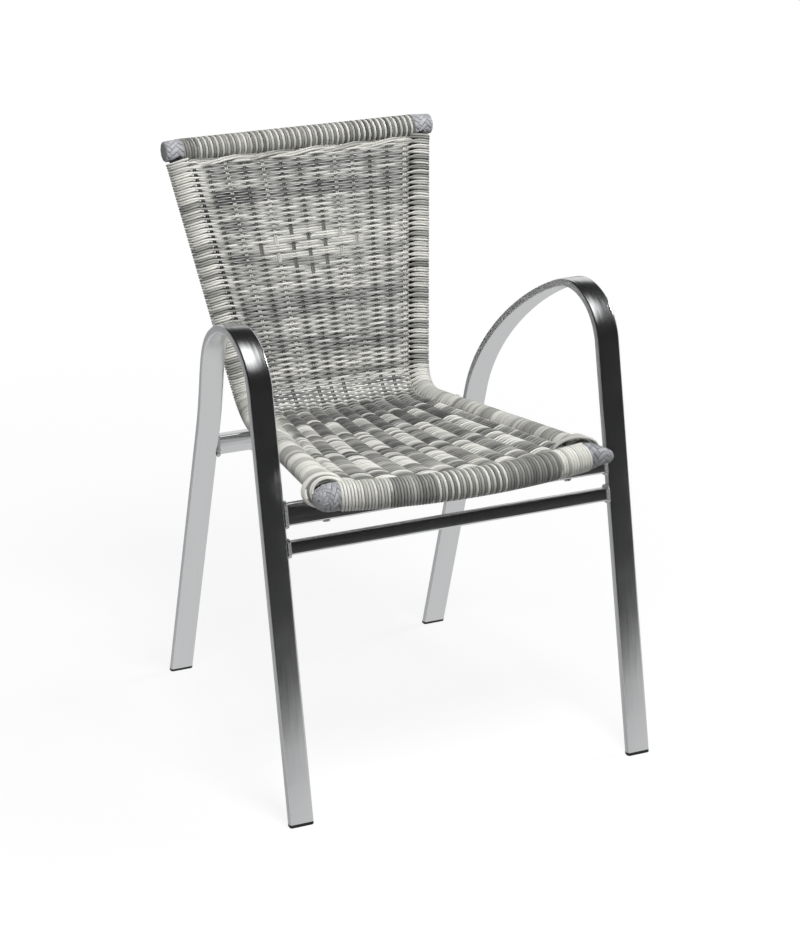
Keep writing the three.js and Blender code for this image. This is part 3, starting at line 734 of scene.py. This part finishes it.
stake_radius = 0.00135
stake_half_gap = 0.00145
edge_stake_drop = -0.0014
stake_tones = [0.75, 0.05, 0.7, 0.05, 0.75, 0.7, 0.7, 0.15, 0.3, 0.75, 0.7, 0.0]
runs = np.concatenate([
    np.arange(0.014, waist_run - 0.06, 0.006),
    np.arange(waist_run - 0.06, waist_run + 0.06, 0.003),
    np.arange(waist_run + 0.06, line_length - 0.010, 0.006),
])
half = along_line(line_points, runs)[:, 0] - panel_gap
shells = []
for k, tone in enumerate(stake_tones):
    for offset in (-stake_half_gap, stake_half_gap):
        across = stake_across(k, runs) + offset / half
        shells.append(strand_shell(shell_point(runs, across, 0), stake_radius, tone, sides=6))
# The left valley pair's near-black tone is painted shade of the deep valley beside the tube.
for side, tone in ((-1, 0.9), (1, 0.3)):
    for offset in (0.0012, 0.0041):
        path = shell_point(runs, side * (1 - offset / half), edge_stake_drop)
        shells.append(strand_shell(path, stake_radius, tone, sides=6))
stakes = strand_piece("stake_strands", shells)
hand_over(stakes, stake_material, "weft_strand")

# Weft. Round strand is woven over and under the stakes row by row. At each side it goes
# nearly twice round the side tube before it comes back, so that the tube is covered. In the
# back's middle the rows go in threes, which draws a small diamond of bricks.

weft_radius = 0.00172
row_pitch = 0.00375
weave_rise = stake_radius + weft_radius + 0.0002
tube_turn_radius = side_tube_radius + 0.0001 + weft_radius
first_row_run = 0.0265
last_row_run = line_length - 0.0240

row_runs = np.arange(first_row_run, last_row_run + row_pitch, row_pitch)
row_count = len(row_runs)

# Places of the diamond: the stakes that show over each group of three rows.
diamond_run = 0.6965
diamond_stakes = [(5,), (4, 6), (3, 5, 7), (2, 4, 6, 8), (3, 5, 7), (4, 6)]
diamond_row = int(np.argmin(abs(row_runs - diamond_run))) - 3 * len(diamond_stakes)


def passes_over(i, k):
    """Whether row i passes over stake k."""
    group = (i - diamond_row) // 3
    if 0 <= group < len(diamond_stakes):
        shown = diamond_stakes[group]
        if k in shown:
            return False
        if shown[0] < k < shown[-1]:
            return True
    return (i + k) % 2 == 0


def banded(run, bands):
    """The value of the first band that ends beyond a run in millimetres."""
    for end, *values in bands:
        if run * 1000 < end:
            return values
    return bands[-1][1:]


# Tones of even and odd rows, up to each run from the front rail. They were dyed in lengths.
panel_bands = [
    (36, 0.35, 0.5), (64, 0.05, 0.55), (80, 0.6, 0.1), (108, 0.5, 0.5), (150, 0.0, 0.5),
    (156, 0.5, 0.5), (175, 0.0, 0.55), (192, 0.6, 0.15), (222, 0.05, 0.7), (258, 0.0, 0.5),
    (264, 0.5, 0.5), (286, 0.05, 0.5), (318, 0.75, 0.45), (350, 0.75, 0.1), (362, 0.75, 0.7),
    (368, 0.1, 0.7), (400, 0.7, 0.75), (420, 0.45, 0.5), (445, 0.2, 0.25), (455, 0.5, 0.35),
    (470, 0.15, 0.15), (484, 0.45, 0.4), (500, 0.1, 0.15), (514, 0.3, 0.35), (532, 0.45, 0.4),
    (566, 0.15, 0.2), (578, 0.3, 0.25), (600, 0.55, 0.45), (640, 0.15, 0.2), (652, 0.45, 0.35),
    (690, 0.1, 0.15), (738, 0.15, 0.2), (757, 0.7, 0.6), (772, 0.15, 0.2), (784, 0.5, 0.4),
    (830, 0.1, 0.15),
]
left_edge_bands = [
    (440, 0), (470, 0.2), (500, 0), (540, 0.2), (580, 0.3), (650, 0.1), (666, 0.6), (680, 0.1),
    (690, 0.55), (700, 0.1), (713, 0.55), (730, 0.1), (760, 0.35), (830, 0.05),
]
left_wrap_bands = [
    (30, 0.5), (45, 0.1), (62, 0.05), (88, 0.65), (128, 0.05), (150, 0.5), (170, 0.1),
    (215, 0.65), (240, 0.15), (300, 0.55), (330, 0.1), (380, 0.45), (420, 0.1), (455, 0.4),
    (490, 0.1), (520, 0.5), (545, 0.1), (572, 0.6), (583, 0.05), (592, 0.7), (600, 0.1),
    (620, 0.6), (634, 0.1), (648, 0.5), (656, 0.05), (666, 0.8), (672, 0.1), (684, 0.7),
    (720, 0.08), (728, 0.6), (733, 0.1), (746, 0.75), (793, 0.05), (830, 0.15),
]
right_wrap_bands = [
    (40, 0.15), (58, 0.5), (75, 0.1), (104, 0.5), (120, 0.1), (150, 0.6), (185, 0.35),
    (230, 0.1), (265, 0.45), (300, 0.15), (330, 0.4), (400, 0.05), (462, 0.08), (470, 0.2),
    (490, 0.8), (497, 0.1), (512, 0.65), (522, 0.1), (534, 0.7), (566, 0.1), (584, 0.75),
    (590, 0.1), (598, 0.65), (612, 0.1), (626, 0.7), (655, 0.12), (664, 0.6), (684, 0.12),
    (690, 0.55), (700, 0.12), (714, 0.75), (722, 0.1), (736, 0.5), (741, 0.05), (751, 0.8),
    (754, 0.1), (764, 0.75), (767, 0.1), (777, 0.8), (792, 0.08), (830, 0.6),
]
drift_seed = np.random.default_rng(7)
row_drift = drift_seed.normal(0, 0.09, row_count + 4)
wrap_drift = drift_seed.normal(0, 0.10, (2, row_count + 4))
along_drift = drift_seed.normal(0, 0.17, (row_count + 4, 6))


def row_tone(i, across):
    run = row_runs[i]
    tone = banded(run, panel_bands)[i % 2] + row_drift[i]
    tone = tone + np.interp(across, np.linspace(-1, 1, 6), along_drift[i])
    tone += 0.12 if run < waist_run else 0.05
    edge = banded(run, left_edge_bands)[0]
    return np.clip(tone + edge * np.clip((-across - 0.45) / 0.25, 0, 1), 0, 1)


def wrap_tone(i, side):
    i = min(i, row_count - 1)
    bands = right_wrap_bands if side > 0 else left_wrap_bands
    tone = banded(row_runs[i], bands)[0] * 0.6 + wrap_drift[int(side > 0), i]
    if side > 0 and row_runs[i] < waist_run:
        tone += 0.25
    return float(np.clip(tone, 0, 1))


def sleeve_swell(run, side):
    """How much wider the sleeve is than a close turn: most on the left, towards the front."""
    front, corner, top = (0.009, 0.005, 0.0035) if side < 0 else (0.0035, 0.003, 0.001)
    return (
        front * np.clip(1 - run / spread_run, 0, 1)
        + corner * np.exp(-np.maximum(run - 0.03, 0) / 0.015)
        + top * np.clip((run - waist_run) / (line_length - waist_run), 0, 1)
    )


def tube_frame(run, side):
    """Centre of a sleeve at a run, the directions out and up, and its reach along out."""
    swell = sleeve_swell(run, side)
    centre = along_line(line_points, run) * (side, 1, 1)
    along = along_line(line_along, run) * (side, 1, 1)
    out = unit(np.array((side, 0.0, 0.0)) - along * (along[..., :1] * side))
    up = unit(along_line(line_up, run))
    up = unit(up - along * (up * along).sum(-1, keepdims=True))
    centre = centre + out * 0.4 * np.expand_dims(swell, -1)
    return centre, out, up, tube_turn_radius + 0.6 * swell


def sleeve_turn(runs, angles, side):
    """Points of a strand that lies round a side tube, at angles from out towards up."""
    centre, out, up, reach = tube_frame(runs, side)
    level = reach[:, None] * out * np.cos(angles)[:, None]
    return centre + level + tube_turn_radius * up * np.sin(angles)[:, None]


def turn_points(i, side, steps=30):
    """The strand's way round a side tube between row i and the next, and its tones."""
    last = stake_count - 1 if side > 0 else 0
    run, after = row_runs[i], row_runs[i + 1]
    contact = []
    for where, over in ((run, 1), (after, -1)):
        edge = shell_point(where, stake_across(last, where), over * weave_rise)
        centre, out, up, reach = tube_frame(where, side)
        x, y = (edge - centre).dot(out) * tube_turn_radius / reach, (edge - centre).dot(up)
        toward = math.atan2(-over * y, x) % (2 * math.pi)
        contact.append(toward - math.acos(tube_turn_radius / math.hypot(x, y)))
    begin, finish = -contact[0], 2 * math.pi + contact[1]
    share = np.linspace(0, 1, steps + 1)
    angles = begin + (finish - begin) * share
    runs = run + (after - run) * (-0.28 + share * 1.56)
    points = sleeve_turn(runs, angles, side)
    guides = []
    for where, over, end in ((run, 1, points[0]), (after, -1, points[-1])):
        edge = shell_point(where, stake_across(last, where), over * weave_rise)
        level = shell_point(where, stake_across(last, where) + side * 0.03, over * weave_rise)
        guide = edge * 0.45 + end * 0.55
        along = along_line(line_along, where) * (0, 1, 1)
        guide = guide + along * (level - guide).dot(along) * 0.8
        guides.append(np.array((level, guide)))
    points = np.vstack([guides[0], points, guides[1][::-1]])
    share = np.concatenate([[0, 0], share, [1, 1]])
    blend = np.clip((share - 0.4) / 0.2, 0, 1)
    return points, wrap_tone(i, side) * (1 - blend) + wrap_tone(i + 1, side) * blend


def row_points(i):
    """A row's strand from the first stake to the last, bent over and under them."""
    run = row_runs[i]
    places, heights = [], []
    levels = [weave_rise if passes_over(i, k) else -weave_rise for k in range(stake_count)]
    for k in range(stake_count - 1):
        for step in range(6):
            share = step / 6
            eased = (1 - math.cos(min(max((share - 0.1) / 0.8, 0), 1) * math.pi)) / 2
            places.append(stake_across(k, run) * (1 - share) + stake_across(k + 1, run) * share)
            heights.append(levels[k] * (1 - eased) + levels[k + 1] * eased)
    places.append(float(stake_across(stake_count - 1, run)))
    heights.append(levels[-1])
    places, heights = np.array(places), np.array(heights)
    return shell_point(run, places, heights), row_tone(i, places)


def weft_path(rows):
    """One unbroken strand through the given rows, with its ways round the side tubes."""
    points, tones = [], []
    for i in rows:
        row, tone = row_points(i)
        rightwards = i % 2 == 1
        if not rightwards:
            row, tone = row[::-1], tone[::-1]
        points.append(row)
        tones.append(tone)
        if i + 1 < row_count:
            turn, tone = turn_points(i, 1 if rightwards else -1)
            points.append(turn)
            tones.append(tone)
    points, tones = np.concatenate(points), np.concatenate(tones)
    points[1:-1] = points[1:-1] * 0.6 + (points[:-2] + points[2:]) * 0.2
    tones[1:-1] = tones[1:-1] * 0.5 + (tones[:-2] + tones[2:]) * 0.25
    return points, tones


def end_turns(side, last_run, pitch=0.0036):
    """Close turns that cover a side tube past its last row, up to the rail."""
    last_turn = max(i for i in range(row_count - 1) if (i % 2 == 1) == (side > 0))
    first_run = row_runs[last_turn + 1] + 0.0027
    turns = (last_run - first_run) / pitch
    share = np.linspace(0, 1, int(turns * 24))
    angles = -math.pi / 2 + share * turns * 2 * math.pi
    points = sleeve_turn(first_run + (last_run - first_run) * share, angles, side)
    tones = [wrap_tone(row_count - 1, side) + 0.1 * math.sin(3 * turn) for turn in share * turns]
    return strand_shell(points, weft_radius, np.clip(tones, 0, 1))


sleeve_nodes = ("side_weft_sleeve_left", "side_weft_sleeve_right")
waist_row = int(np.argmin(abs(row_runs - waist_run)))
for name, rows, node in (
    ("seat_weft", range(0, waist_row + 1), "seat_weave"),
    ("back_weft", range(waist_row + 1, row_count), "back_weave"),
):
    points, tones = weft_path(rows)
    shells = [strand_shell(points, weft_radius, tones)]
    if name == "back_weft":
        shells += [end_turns(side, line_length - 0.0152) for side in (-1, 1)]
    piece = strand_piece(name, shells)
    hand_over(piece, weft_material, "weft_strand", node, *sleeve_nodes)

# Corner loops. At the front corners the sleeve's last turns stand wide of the tube like a
# collar. They run out from the inner corner, round the root of the corner knob and under it.

# Each loop's run, its lean along the tube, its half width, half height, shift out and tone.
loops_by_side = {
    "left": [
        (0.0365, 0.0, 0.0280, 0.0227, 0.0085, 0.08),
        (0.0335, 0.001, 0.0266, 0.0218, 0.0078, 0.0),
        (0.0300, 0.003, 0.0235, 0.0198, 0.0065, 0.65),
        (0.0262, 0.005, 0.0222, 0.0190, 0.0055, 0.55),
        (0.0200, 0.009, 0.0226, 0.0200, 0.0048, 0.0),
        (0.0168, 0.009, 0.0212, 0.0190, 0.0045, 0.05),
    ],
    "right": [
        (0.0480, -0.004, 0.0200, 0.0172, 0.0030, 0.4),
        (0.0445, -0.007, 0.0215, 0.0178, 0.0010, 0.2),
        (0.0410, -0.010, 0.0232, 0.0186, -0.0015, 0.25),
        (0.0375, -0.013, 0.0248, 0.0194, -0.0038, 0.5),
        (0.0340, -0.0155, 0.0263, 0.0203, -0.0057, 0.2),
        (0.0310, -0.0165, 0.0258, 0.0196, -0.0060, 0.3),
    ],
}
loop_turn = 0.55
for side_name, side in (("left", -1), ("right", 1)):
    shells = []
    for run, lean, wide, tall, shift, tone in loops_by_side[side_name]:
        angle = np.linspace(-math.pi, math.pi, 72, endpoint=False)
        runs = run + lean * np.cos(angle - loop_turn)
        centre = along_line(line_points, runs) * (side, 1, 1)
        _, out, up, _ = tube_frame(runs, side)
        points = centre + out * (shift + wide * np.cos(angle))[:, None]
        points += up * (tall * np.sin(angle))[:, None]
        shells.append(strand_shell(points, weft_radius, tone, closed=True))
    loops = strand_piece(f"corner_loops_{side_name}", shells)
    hand_over(loops, weft_material, "weft_strand")

# Rail windings. A light and a grey strand are wound side by side round the top rail and the
# bowed front rail, tight enough to hide the tube and the stake ends. The front tube inside is
# a closed sleeve of mesh, bowed with the rail.

winding_material = strand_material("winding_strand")
winding_radius = 0.00193
winding_pitch = 0.0084


def front_rail_point(x):
    bow = 1 - (x / line_front[0]) ** 2
    return np.stack([x, line_front[1] - front_bow * bow, line_front[2] - front_dip * bow], -1)


def top_rail_point(x):
    return np.stack([x, np.full_like(x, line_top[1]), np.full_like(x, line_top[2])], -1)


# Tones of the two strands, up to each place along the rail in millimetres.
top_tones = [(-160, 0.5, 0.8), (-120, 0.1, 0.6), (-60, 0.12, 0.6), (60, 0.1, 0.6), (180, 0.08, 0.8)]
front_tones = [
    (-158, 0.05, 0.2), (-118, 0.1, 0.35), (-62, 0.5, 0.7), (-52, 0.05, 0.6), (-30, 0.1, 0.7),
    (2, 0.1, 0.6), (40, 0.15, 0.65), (122, 0.55, 0.75), (180, 0.02, 0.1),
]
# Each rail's line, the ends of its winding, its tube's radius and its tones.
rails = {
    "top": (top_rail_point, -0.1815, 0.1765, 0.0125, top_tones),
    "front": (front_rail_point, -0.1825, 0.1715, 0.016, front_tones),
}
for rail_name, (rail_point, left_end, right_end, tube_radius, bands) in rails.items():
    shells = []
    turn_radius = tube_radius + 0.0002 + winding_radius
    for start in (0, 1):
        inset = winding_radius + start * winding_pitch / 2
        first_x = left_end + inset - winding_pitch / 2
        last_x = right_end - 2 * winding_radius + inset
        x = np.arange(first_x, last_x, winding_pitch / 24)
        centre = rail_point(x)
        along = unit(np.gradient(centre, axis=0))
        back = unit(np.cross(np.array((0.0, 0.0, 1.0)), along))
        up = np.cross(along, back)
        angle = (x / winding_pitch) * 2 * math.pi - start * math.pi
        ring = back * np.cos(angle)[:, None] + up * np.sin(angle)[:, None]
        points = centre + turn_radius * ring
        tones = np.array([banded(v, bands)[start] for v in x])
        turn_index = np.floor((angle + math.pi / 2) / (2 * math.pi)).astype(int)
        turn_drift = np.random.default_rng(3 + start).normal(0, 0.08, 400)
        tones = np.clip(tones + turn_drift[turn_index % 400], 0, 1)
        shells.append(strand_shell(points, winding_radius, tones))
    winding = strand_piece(f"{rail_name}_winding", shells)
    hand_over(winding, winding_material, "winding_strand", f"{rail_name}_rail_winding")

tube_end, tube_rings, tube_sides = 0.186, 49, 32
out_and_back = np.linspace(-tube_end, tube_end, tube_rings)
front_tube_x = np.concatenate([out_and_back, out_and_back[::-1]])
front_tube_radii = np.repeat([0.016, 0.0145], tube_rings)
centre = front_rail_point(front_tube_x)
along = unit(front_rail_point(front_tube_x + 0.001) - front_rail_point(front_tube_x - 0.001))
back = unit(np.cross((0.0, 0.0, 1.0), along))
up = np.cross(along, back)
angle = (np.arange(tube_sides) / tube_sides * 2 * math.pi)[None, :, None]
ring = back[:, None] * np.cos(angle) + up[:, None] * np.sin(angle)
points = centre[:, None] + front_tube_radii[:, None, None] * ring
rings = 2 * tube_rings
i, j = np.meshgrid(np.arange(rings), np.arange(tube_sides), indexing="ij")
near, far = i * tube_sides, (i + 1) % rings * tube_sides
after_j = (j + 1) % tube_sides
quads = np.stack([near + j, far + j, far + after_j, near + after_j], -1)
front_tube = mesh_piece("front_tube", points, quads.reshape(-1, 4).tolist())
pick_nothing()
front_tube.select_set(True)
close_mesh(front_tube)
smooth(front_tube)
# The front tube takes the same mill finish, darkened to a third as painted shade.
hand_over(front_tube, shade_dark_mill_finish, "shell_tube", "shell_front_tube")

# Borders. Along the top and the front edge of the weave two pairs of strand are twined round
# each other like a flat rope, which locks the last row against the winding.

twine_length = 0.124
twine_radius, twine_rise, ply_half_gap = 0.0017, 0.0026, 0.0017
# Each border's run, half length, spread, and the tones of its two plies.
borders = {
    "top": (line_length - 0.0205, 0.1735, 0.0034, (0.1, 0.3)),
    "front": (0.0215, 0.163, 0.0026, (0.15, 0.55)),
}
for border_name, (run, half, spread, ply_tones) in borders.items():
    shells = []
    x = np.linspace(-half, half, 150)
    for ply in (0, 1):
        phase = 2 * math.pi * x / twine_length + ply * math.pi
        for offset in (-ply_half_gap, ply_half_gap):
            shift = spread * np.sin(phase) + offset
            height = twine_rise * np.cos(phase) + 0.001
            side_half = np.interp(run, line_runs, line_points[:, 0]) - panel_gap
            points = shell_point(run + shift, x / side_half, height)
            shells.append(strand_shell(points, twine_radius, ply_tones[ply]))
    border = strand_piece(f"{border_name}_border", shells)
    hand_over(border, winding_material, "winding_strand", f"{border_name}_border_cord")

# Corner caps. Flat blue-grey strip is braided over the corners, two over and two under. On
# the top rail it ends blunt with the tube. On the front rail it closes to a point that turns
# forward round the corner.

cap_material, tree, shader = new_material("cap_strand")
tone = add_node(tree, "Attribute", attribute_name="tone").outputs["Fac"]
lay = add_node(tree, "UVMap", uv_map="lay")
streaks = add_noise(tree, lay, 1, 3, stretch=(14, 1.2, 1))
shade = add_math(tree, "MULTIPLY_ADD", streaks, 0.5, tone)
cap_dye = add_ramp(tree, shade, (0.1, (0.17, 0.172, 0.182)), (0.95, (0.52, 0.525, 0.55)))
bump = add_bump(tree, streaks, 0.4, 0.0002)
feed(tree, shader, {"Base Color": cap_dye, "Roughness": 0.33, "Normal": bump})

strip_depth = 0.0021
neck_length = 0.006


def braided_cap(name, spine, profile, tube_radius, strips_round, paler):
    """A sleeve of braided strip along a spine, as a relief of a two-by-two twill, with painted shade
    in its creases.

    The spine is the three points of a curve. The thin neck lies on the tube, under the
    winding's last turn."""
    rounds, lengths = 160, 110
    t = np.linspace(0, 1, lengths + 1)
    root, bend, tip = spine
    share = t[:, None]
    centre = (1 - share) ** 2 * root + 2 * (1 - share) * share * bend + share ** 2 * tip
    along = unit(np.gradient(centre, axis=0))
    back = unit(np.cross((0.0, 0.0, 1.0), along))
    up = np.cross(along, back)
    places, radii = np.array(profile).T
    neck = neck_length / np.linalg.norm(tip - root)
    places = np.concatenate([[0, neck * 0.8], neck + places * (1 - neck)])
    neck_radius = tube_radius + 0.0008
    r = np.interp(t, places, np.concatenate([[neck_radius, neck_radius], radii]))
    for _ in range(3):
        r[1:-1] = r[1:-1] * 0.5 + (r[:-2] + r[2:]) * 0.25
    step = np.hypot(np.linalg.norm(np.diff(centre, axis=0), axis=1), np.diff(r))
    turns = np.concatenate([[0], np.cumsum(step / ((r[1:] + r[:-1]) / 2))]) / (2 * math.pi)
    phi = np.arange(rounds) / rounds
    around, onward = np.meshgrid(phi, turns)
    p, q = (around + onward) * strips_round, (around - onward) * strips_round
    fp, fq = p - np.floor(p), q - np.floor(q)
    ip, iq = np.floor(p).astype(int), np.floor(q).astype(int)
    on_top = ((ip - iq) % 4) < 2
    from_middle = 2 * np.where(on_top, fp, fq) - 1
    relief = (1 - from_middle ** 8) * (1 - 0.25 * from_middle ** 2)
    depth = strip_depth * np.clip(r / radii[0] * 1.3, 0.1, 1)
    depth = np.where(t < neck * 1.1, 0.0003, depth)[:, None]
    reach = r[:, None] - depth * (1 - relief)
    tone = np.where(on_top, 0.34, 0.20) + paler + 0.07 * np.sin(ip * 2.1 + iq * 1.3)
    # Painted shade: the tone darkens where the relief sinks, in the creases between the strips.
    tone = tone - 0.8 * (1 - np.clip(relief * 1.3, 0, 1))
    turn = 2 * math.pi * phi[None, :, None]
    ring = back[:, None] * np.cos(turn) + up[:, None] * np.sin(turn)
    points = centre[:, None] + reach[..., None] * ring
    inner = centre[:1, None] + (r[0] - 0.0025) * ring[:1]
    stack = np.concatenate([inner, points])
    tones = np.concatenate([np.zeros((1, rounds)), tone])
    rows = len(stack)
    i = np.arange(rows - 1)[:, None] * rounds
    j = np.arange(rounds)[None]
    k = (j + 1) % rounds
    quads = np.stack([i + j, i + rounds + j, i + rounds + k, i + k], -1).reshape(-1, 4)
    ends = [list(range(rounds)), [(rows - 1) * rounds + n for n in range(rounds)]]
    cap = mesh_piece(name, stack, quads.tolist() + ends)
    vertex = np.zeros(len(cap.data.loops), int)
    cap.data.loops.foreach_get("vertex_index", vertex)
    across, lengthwise = np.where(on_top, fp, fq), np.where(on_top, q, p)
    lay_u = np.concatenate([across[:1], across]).ravel()
    lay_v = np.concatenate([lengthwise[:1], lengthwise]).ravel()
    lay_on(cap, tones, np.stack([lay_u[vertex], lay_v[vertex]], 1))
    pick_nothing()
    cap.select_set(True)
    close_mesh(cap)
    cap.data.shade_smooth()
    return cap


# Profiles are shares of a cap's length with its radius there.
blunt_profile = [
    (0, 0.0162), (0.3, 0.0159), (0.88, 0.0148), (0.95, 0.0142), (0.985, 0.0128), (1, 0.002),
]
knob_profiles = {
    "left": [(0, 0.0184), (0.3, 0.0188), (0.55, 0.0182), (0.8, 0.0150), (0.94, 0.0096), (1, 0.002)],
    "right": [(0, 0.0188), (0.2, 0.0180), (0.45, 0.0150), (0.7, 0.0116), (0.92, 0.0080), (1, 0.002)],
}
knob_tips = {
    "left": np.array((0.2165, toe_y - 0.002, 0.4480)),
    "right": np.array((0.2065, toe_y - 0.0065, 0.4435)),
}
# How many strips lie round each knob, and how much paler it is than usual.
knob_finishes = {"left": (10, 0), "right": (7, -0.12)}
for side_name, side in (("left", -1), ("right", 1)):
    winding_end = 1 if side < 0 else 2
    root = top_rail_point(np.array([abs(rails["top"][winding_end]) - neck_length]))[0]
    tip = top_rail_point(np.array([0.2075]))[0]
    spine = [point * (side, 1, 1) for point in (root, (root + tip) / 2, tip)]
    cap = braided_cap(f"top_cap_{side_name}", spine, blunt_profile, 0.0125, 10, 0.2)
    hand_over(cap, cap_material, "cap_strand", f"top_corner_cap_{side_name}")
    end = abs(rails["front"][winding_end]) - neck_length
    root, ahead = front_rail_point(np.array([end, end + 0.022]))
    spine = [point * (side, 1, 1) for point in (root, ahead, knob_tips[side_name])]
    knob_name, profile = f"front_cap_{side_name}", knob_profiles[side_name]
    knob = braided_cap(knob_name, spine, profile, 0.016, *knob_finishes[side_name])
    hand_over(knob, cap_material, "cap_strand", f"front_corner_cap_{side_name}")

# Studio. The chair stands on a wide pale floor in an even pale surround, under one soft lamp
# with two weaker ones at its sides. Metal also finds the dark front of the room and, over the
# left arm, a soft glow. Only the camera sees floor and surround as white paper.

pick_nothing()
bpy.ops.mesh.primitive_grid_add(x_subdivisions=40, y_subdivisions=40, size=60)
floor = bpy.context.object
floor.name = floor.data.name = "studio_floor"
floor_material, tree, shader = new_material("studio_floor")
feed(tree, shader, {
    "Base Color": (0.35, 0.35, 0.35, 1), "Roughness": 0.9, "Specular IOR Level": 0.1,
})
ray = add_node(tree, "LightPath")
place = add_node(tree, "TexCoord").outputs["Object"]
floor_y = add_node(tree, "SeparateXYZ", {"Vector": place}).outputs["Y"]
front = add_range(tree, floor_y, -1.55, -1.25, 0, 1)
behind = add_range(tree, floor_y, 0.9, 1.7, 1, 0.25)
bright = add_math(tree, "MULTIPLY", front, behind)
in_metal = add_node(tree, "Emission", {"Color": mix_colours(tree, bright, 0.03, 0.60)})
glossy, seen = ray.outputs["Is Glossy Ray"], ray.outputs["Is Camera Ray"]
by_glossy = add_node(tree, "MixShader", {"Fac": glossy, 1: shader, 2: in_metal})
away = add_node(tree, "VectorMath", {0: place}, operation="LENGTH").outputs["Value"]
whiter = add_range(tree, away, 0.5, 3, 1.03, 1.17)
white = add_node(tree, "Emission", {"Color": (1, 1, 1, 1), "Strength": whiter})
pale = add_node(tree, "BsdfDiffuse", {"Color": (0.93, 0.93, 0.93, 1)})
paper = add_node(tree, "MixShader", {"Fac": 0.85, 1: pale, 2: white})
by_camera = add_node(tree, "MixShader", {"Fac": seen, 1: by_glossy, 2: paper})
output = next(n for n in tree.nodes if n.type == "OUTPUT_MATERIAL")
feed(tree, output, {"Surface": by_camera})
floor.data.materials.append(floor_material)

world = bpy.data.worlds.new("studio")
bpy.context.scene.world = world
world.use_nodes = True
tree = world.node_tree
ray = add_node(tree, "LightPath")
place = add_node(tree, "TexCoord").outputs["Generated"]
split = add_node(tree, "SeparateXYZ", {"Vector": place})
low = add_range(tree, split.outputs["Z"], 0.52, 0.40, 0, 1)
behind = add_range(tree, split.outputs["Y"], -0.25, 0.15, 0, 1)
shine = mix_colours(tree, add_math(tree, "MULTIPLY", low, behind), 0.02, 0.75)
glow_middle, glow_reach = (0.25, -0.23, 0.93), (0.2, 0.56, 0.7)
glow_place = add_node(tree, "Mapping", {
    "Vector": place,
    "Location": [-middle / reach for middle, reach in zip(glow_middle, glow_reach)],
    "Scale": [1 / reach for reach in glow_reach],
})
glow = add_node(tree, "TexGradient", {"Vector": glow_place}, gradient_type="SPHERICAL")
glow_shade = mix_colours(tree, glow.outputs["Fac"], 0, 2.6, clamped=False)
glowing = mix_colours(tree, 1, shine, glow_shade, "ADD")
by_ray = mix_colours(tree, ray.outputs["Is Glossy Ray"], 0.05, glowing)
by_camera = mix_colours(tree, ray.outputs["Is Camera Ray"], by_ray, 1)
surround = next(n for n in tree.nodes if n.type == "BACKGROUND")
feed(tree, surround, {"Color": by_camera})

# Each lamp's place, size, power, and whether metal shows it.
lamps = {
    "softbox": ((-0.1, -1.35, 2.5), 0.8, 54, False),
    "fill": ((-1.7, -1.7, 1.7), 1.2, 16, False),
    "key": ((2.4, -0.3, 2.3), 0.6, 30, True),
}
aim = Vector((0, 0, 0.5))
for name, (place, size, power, seen_in_metal) in lamps.items():
    lamp = bpy.data.lights.new(name, "AREA")
    lamp.shape = "RECTANGLE"
    lamp.size, lamp.size_y = size, size
    lamp.energy = power
    holder = bpy.data.objects.new(name, lamp)
    holder.location = place
    holder.rotation_euler = (aim - holder.location).to_track_quat("-Z", "Y").to_euler()
    holder.visible_glossy = seen_in_metal
    bpy.context.scene.collection.objects.link(holder)

camera = bpy.data.cameras.new("camera")
camera.sensor_width = 36
# The focal length and the shifts in pixels of the photograph, which is 950 high.
photo_height = 950
camera.lens = 2713.18 * camera.sensor_width / photo_height
camera.shift_x = -12.82 / photo_height
camera.shift_y = -24.54 / photo_height
camera_holder = bpy.data.objects.new("camera", camera)
camera_holder.location = (-1.4475877, -3.29813, 1.5688907)
camera_holder.rotation_mode = "QUATERNION"
yaw, pitch, roll = -0.4247, 0.3137, -0.0192
turned = Matrix.Rotation(yaw, 4, "Z") @ Matrix.Rotation(math.pi / 2 - pitch, 4, "X")
camera_holder.rotation_quaternion = (turned @ Matrix.Rotation(roll, 4, "Z")).to_quaternion()
camera.clip_end = 200
bpy.context.scene.collection.objects.link(camera_holder)
bpy.context.scene.camera = camera_holder
bpy.context.scene.view_settings.view_transform = "Standard"
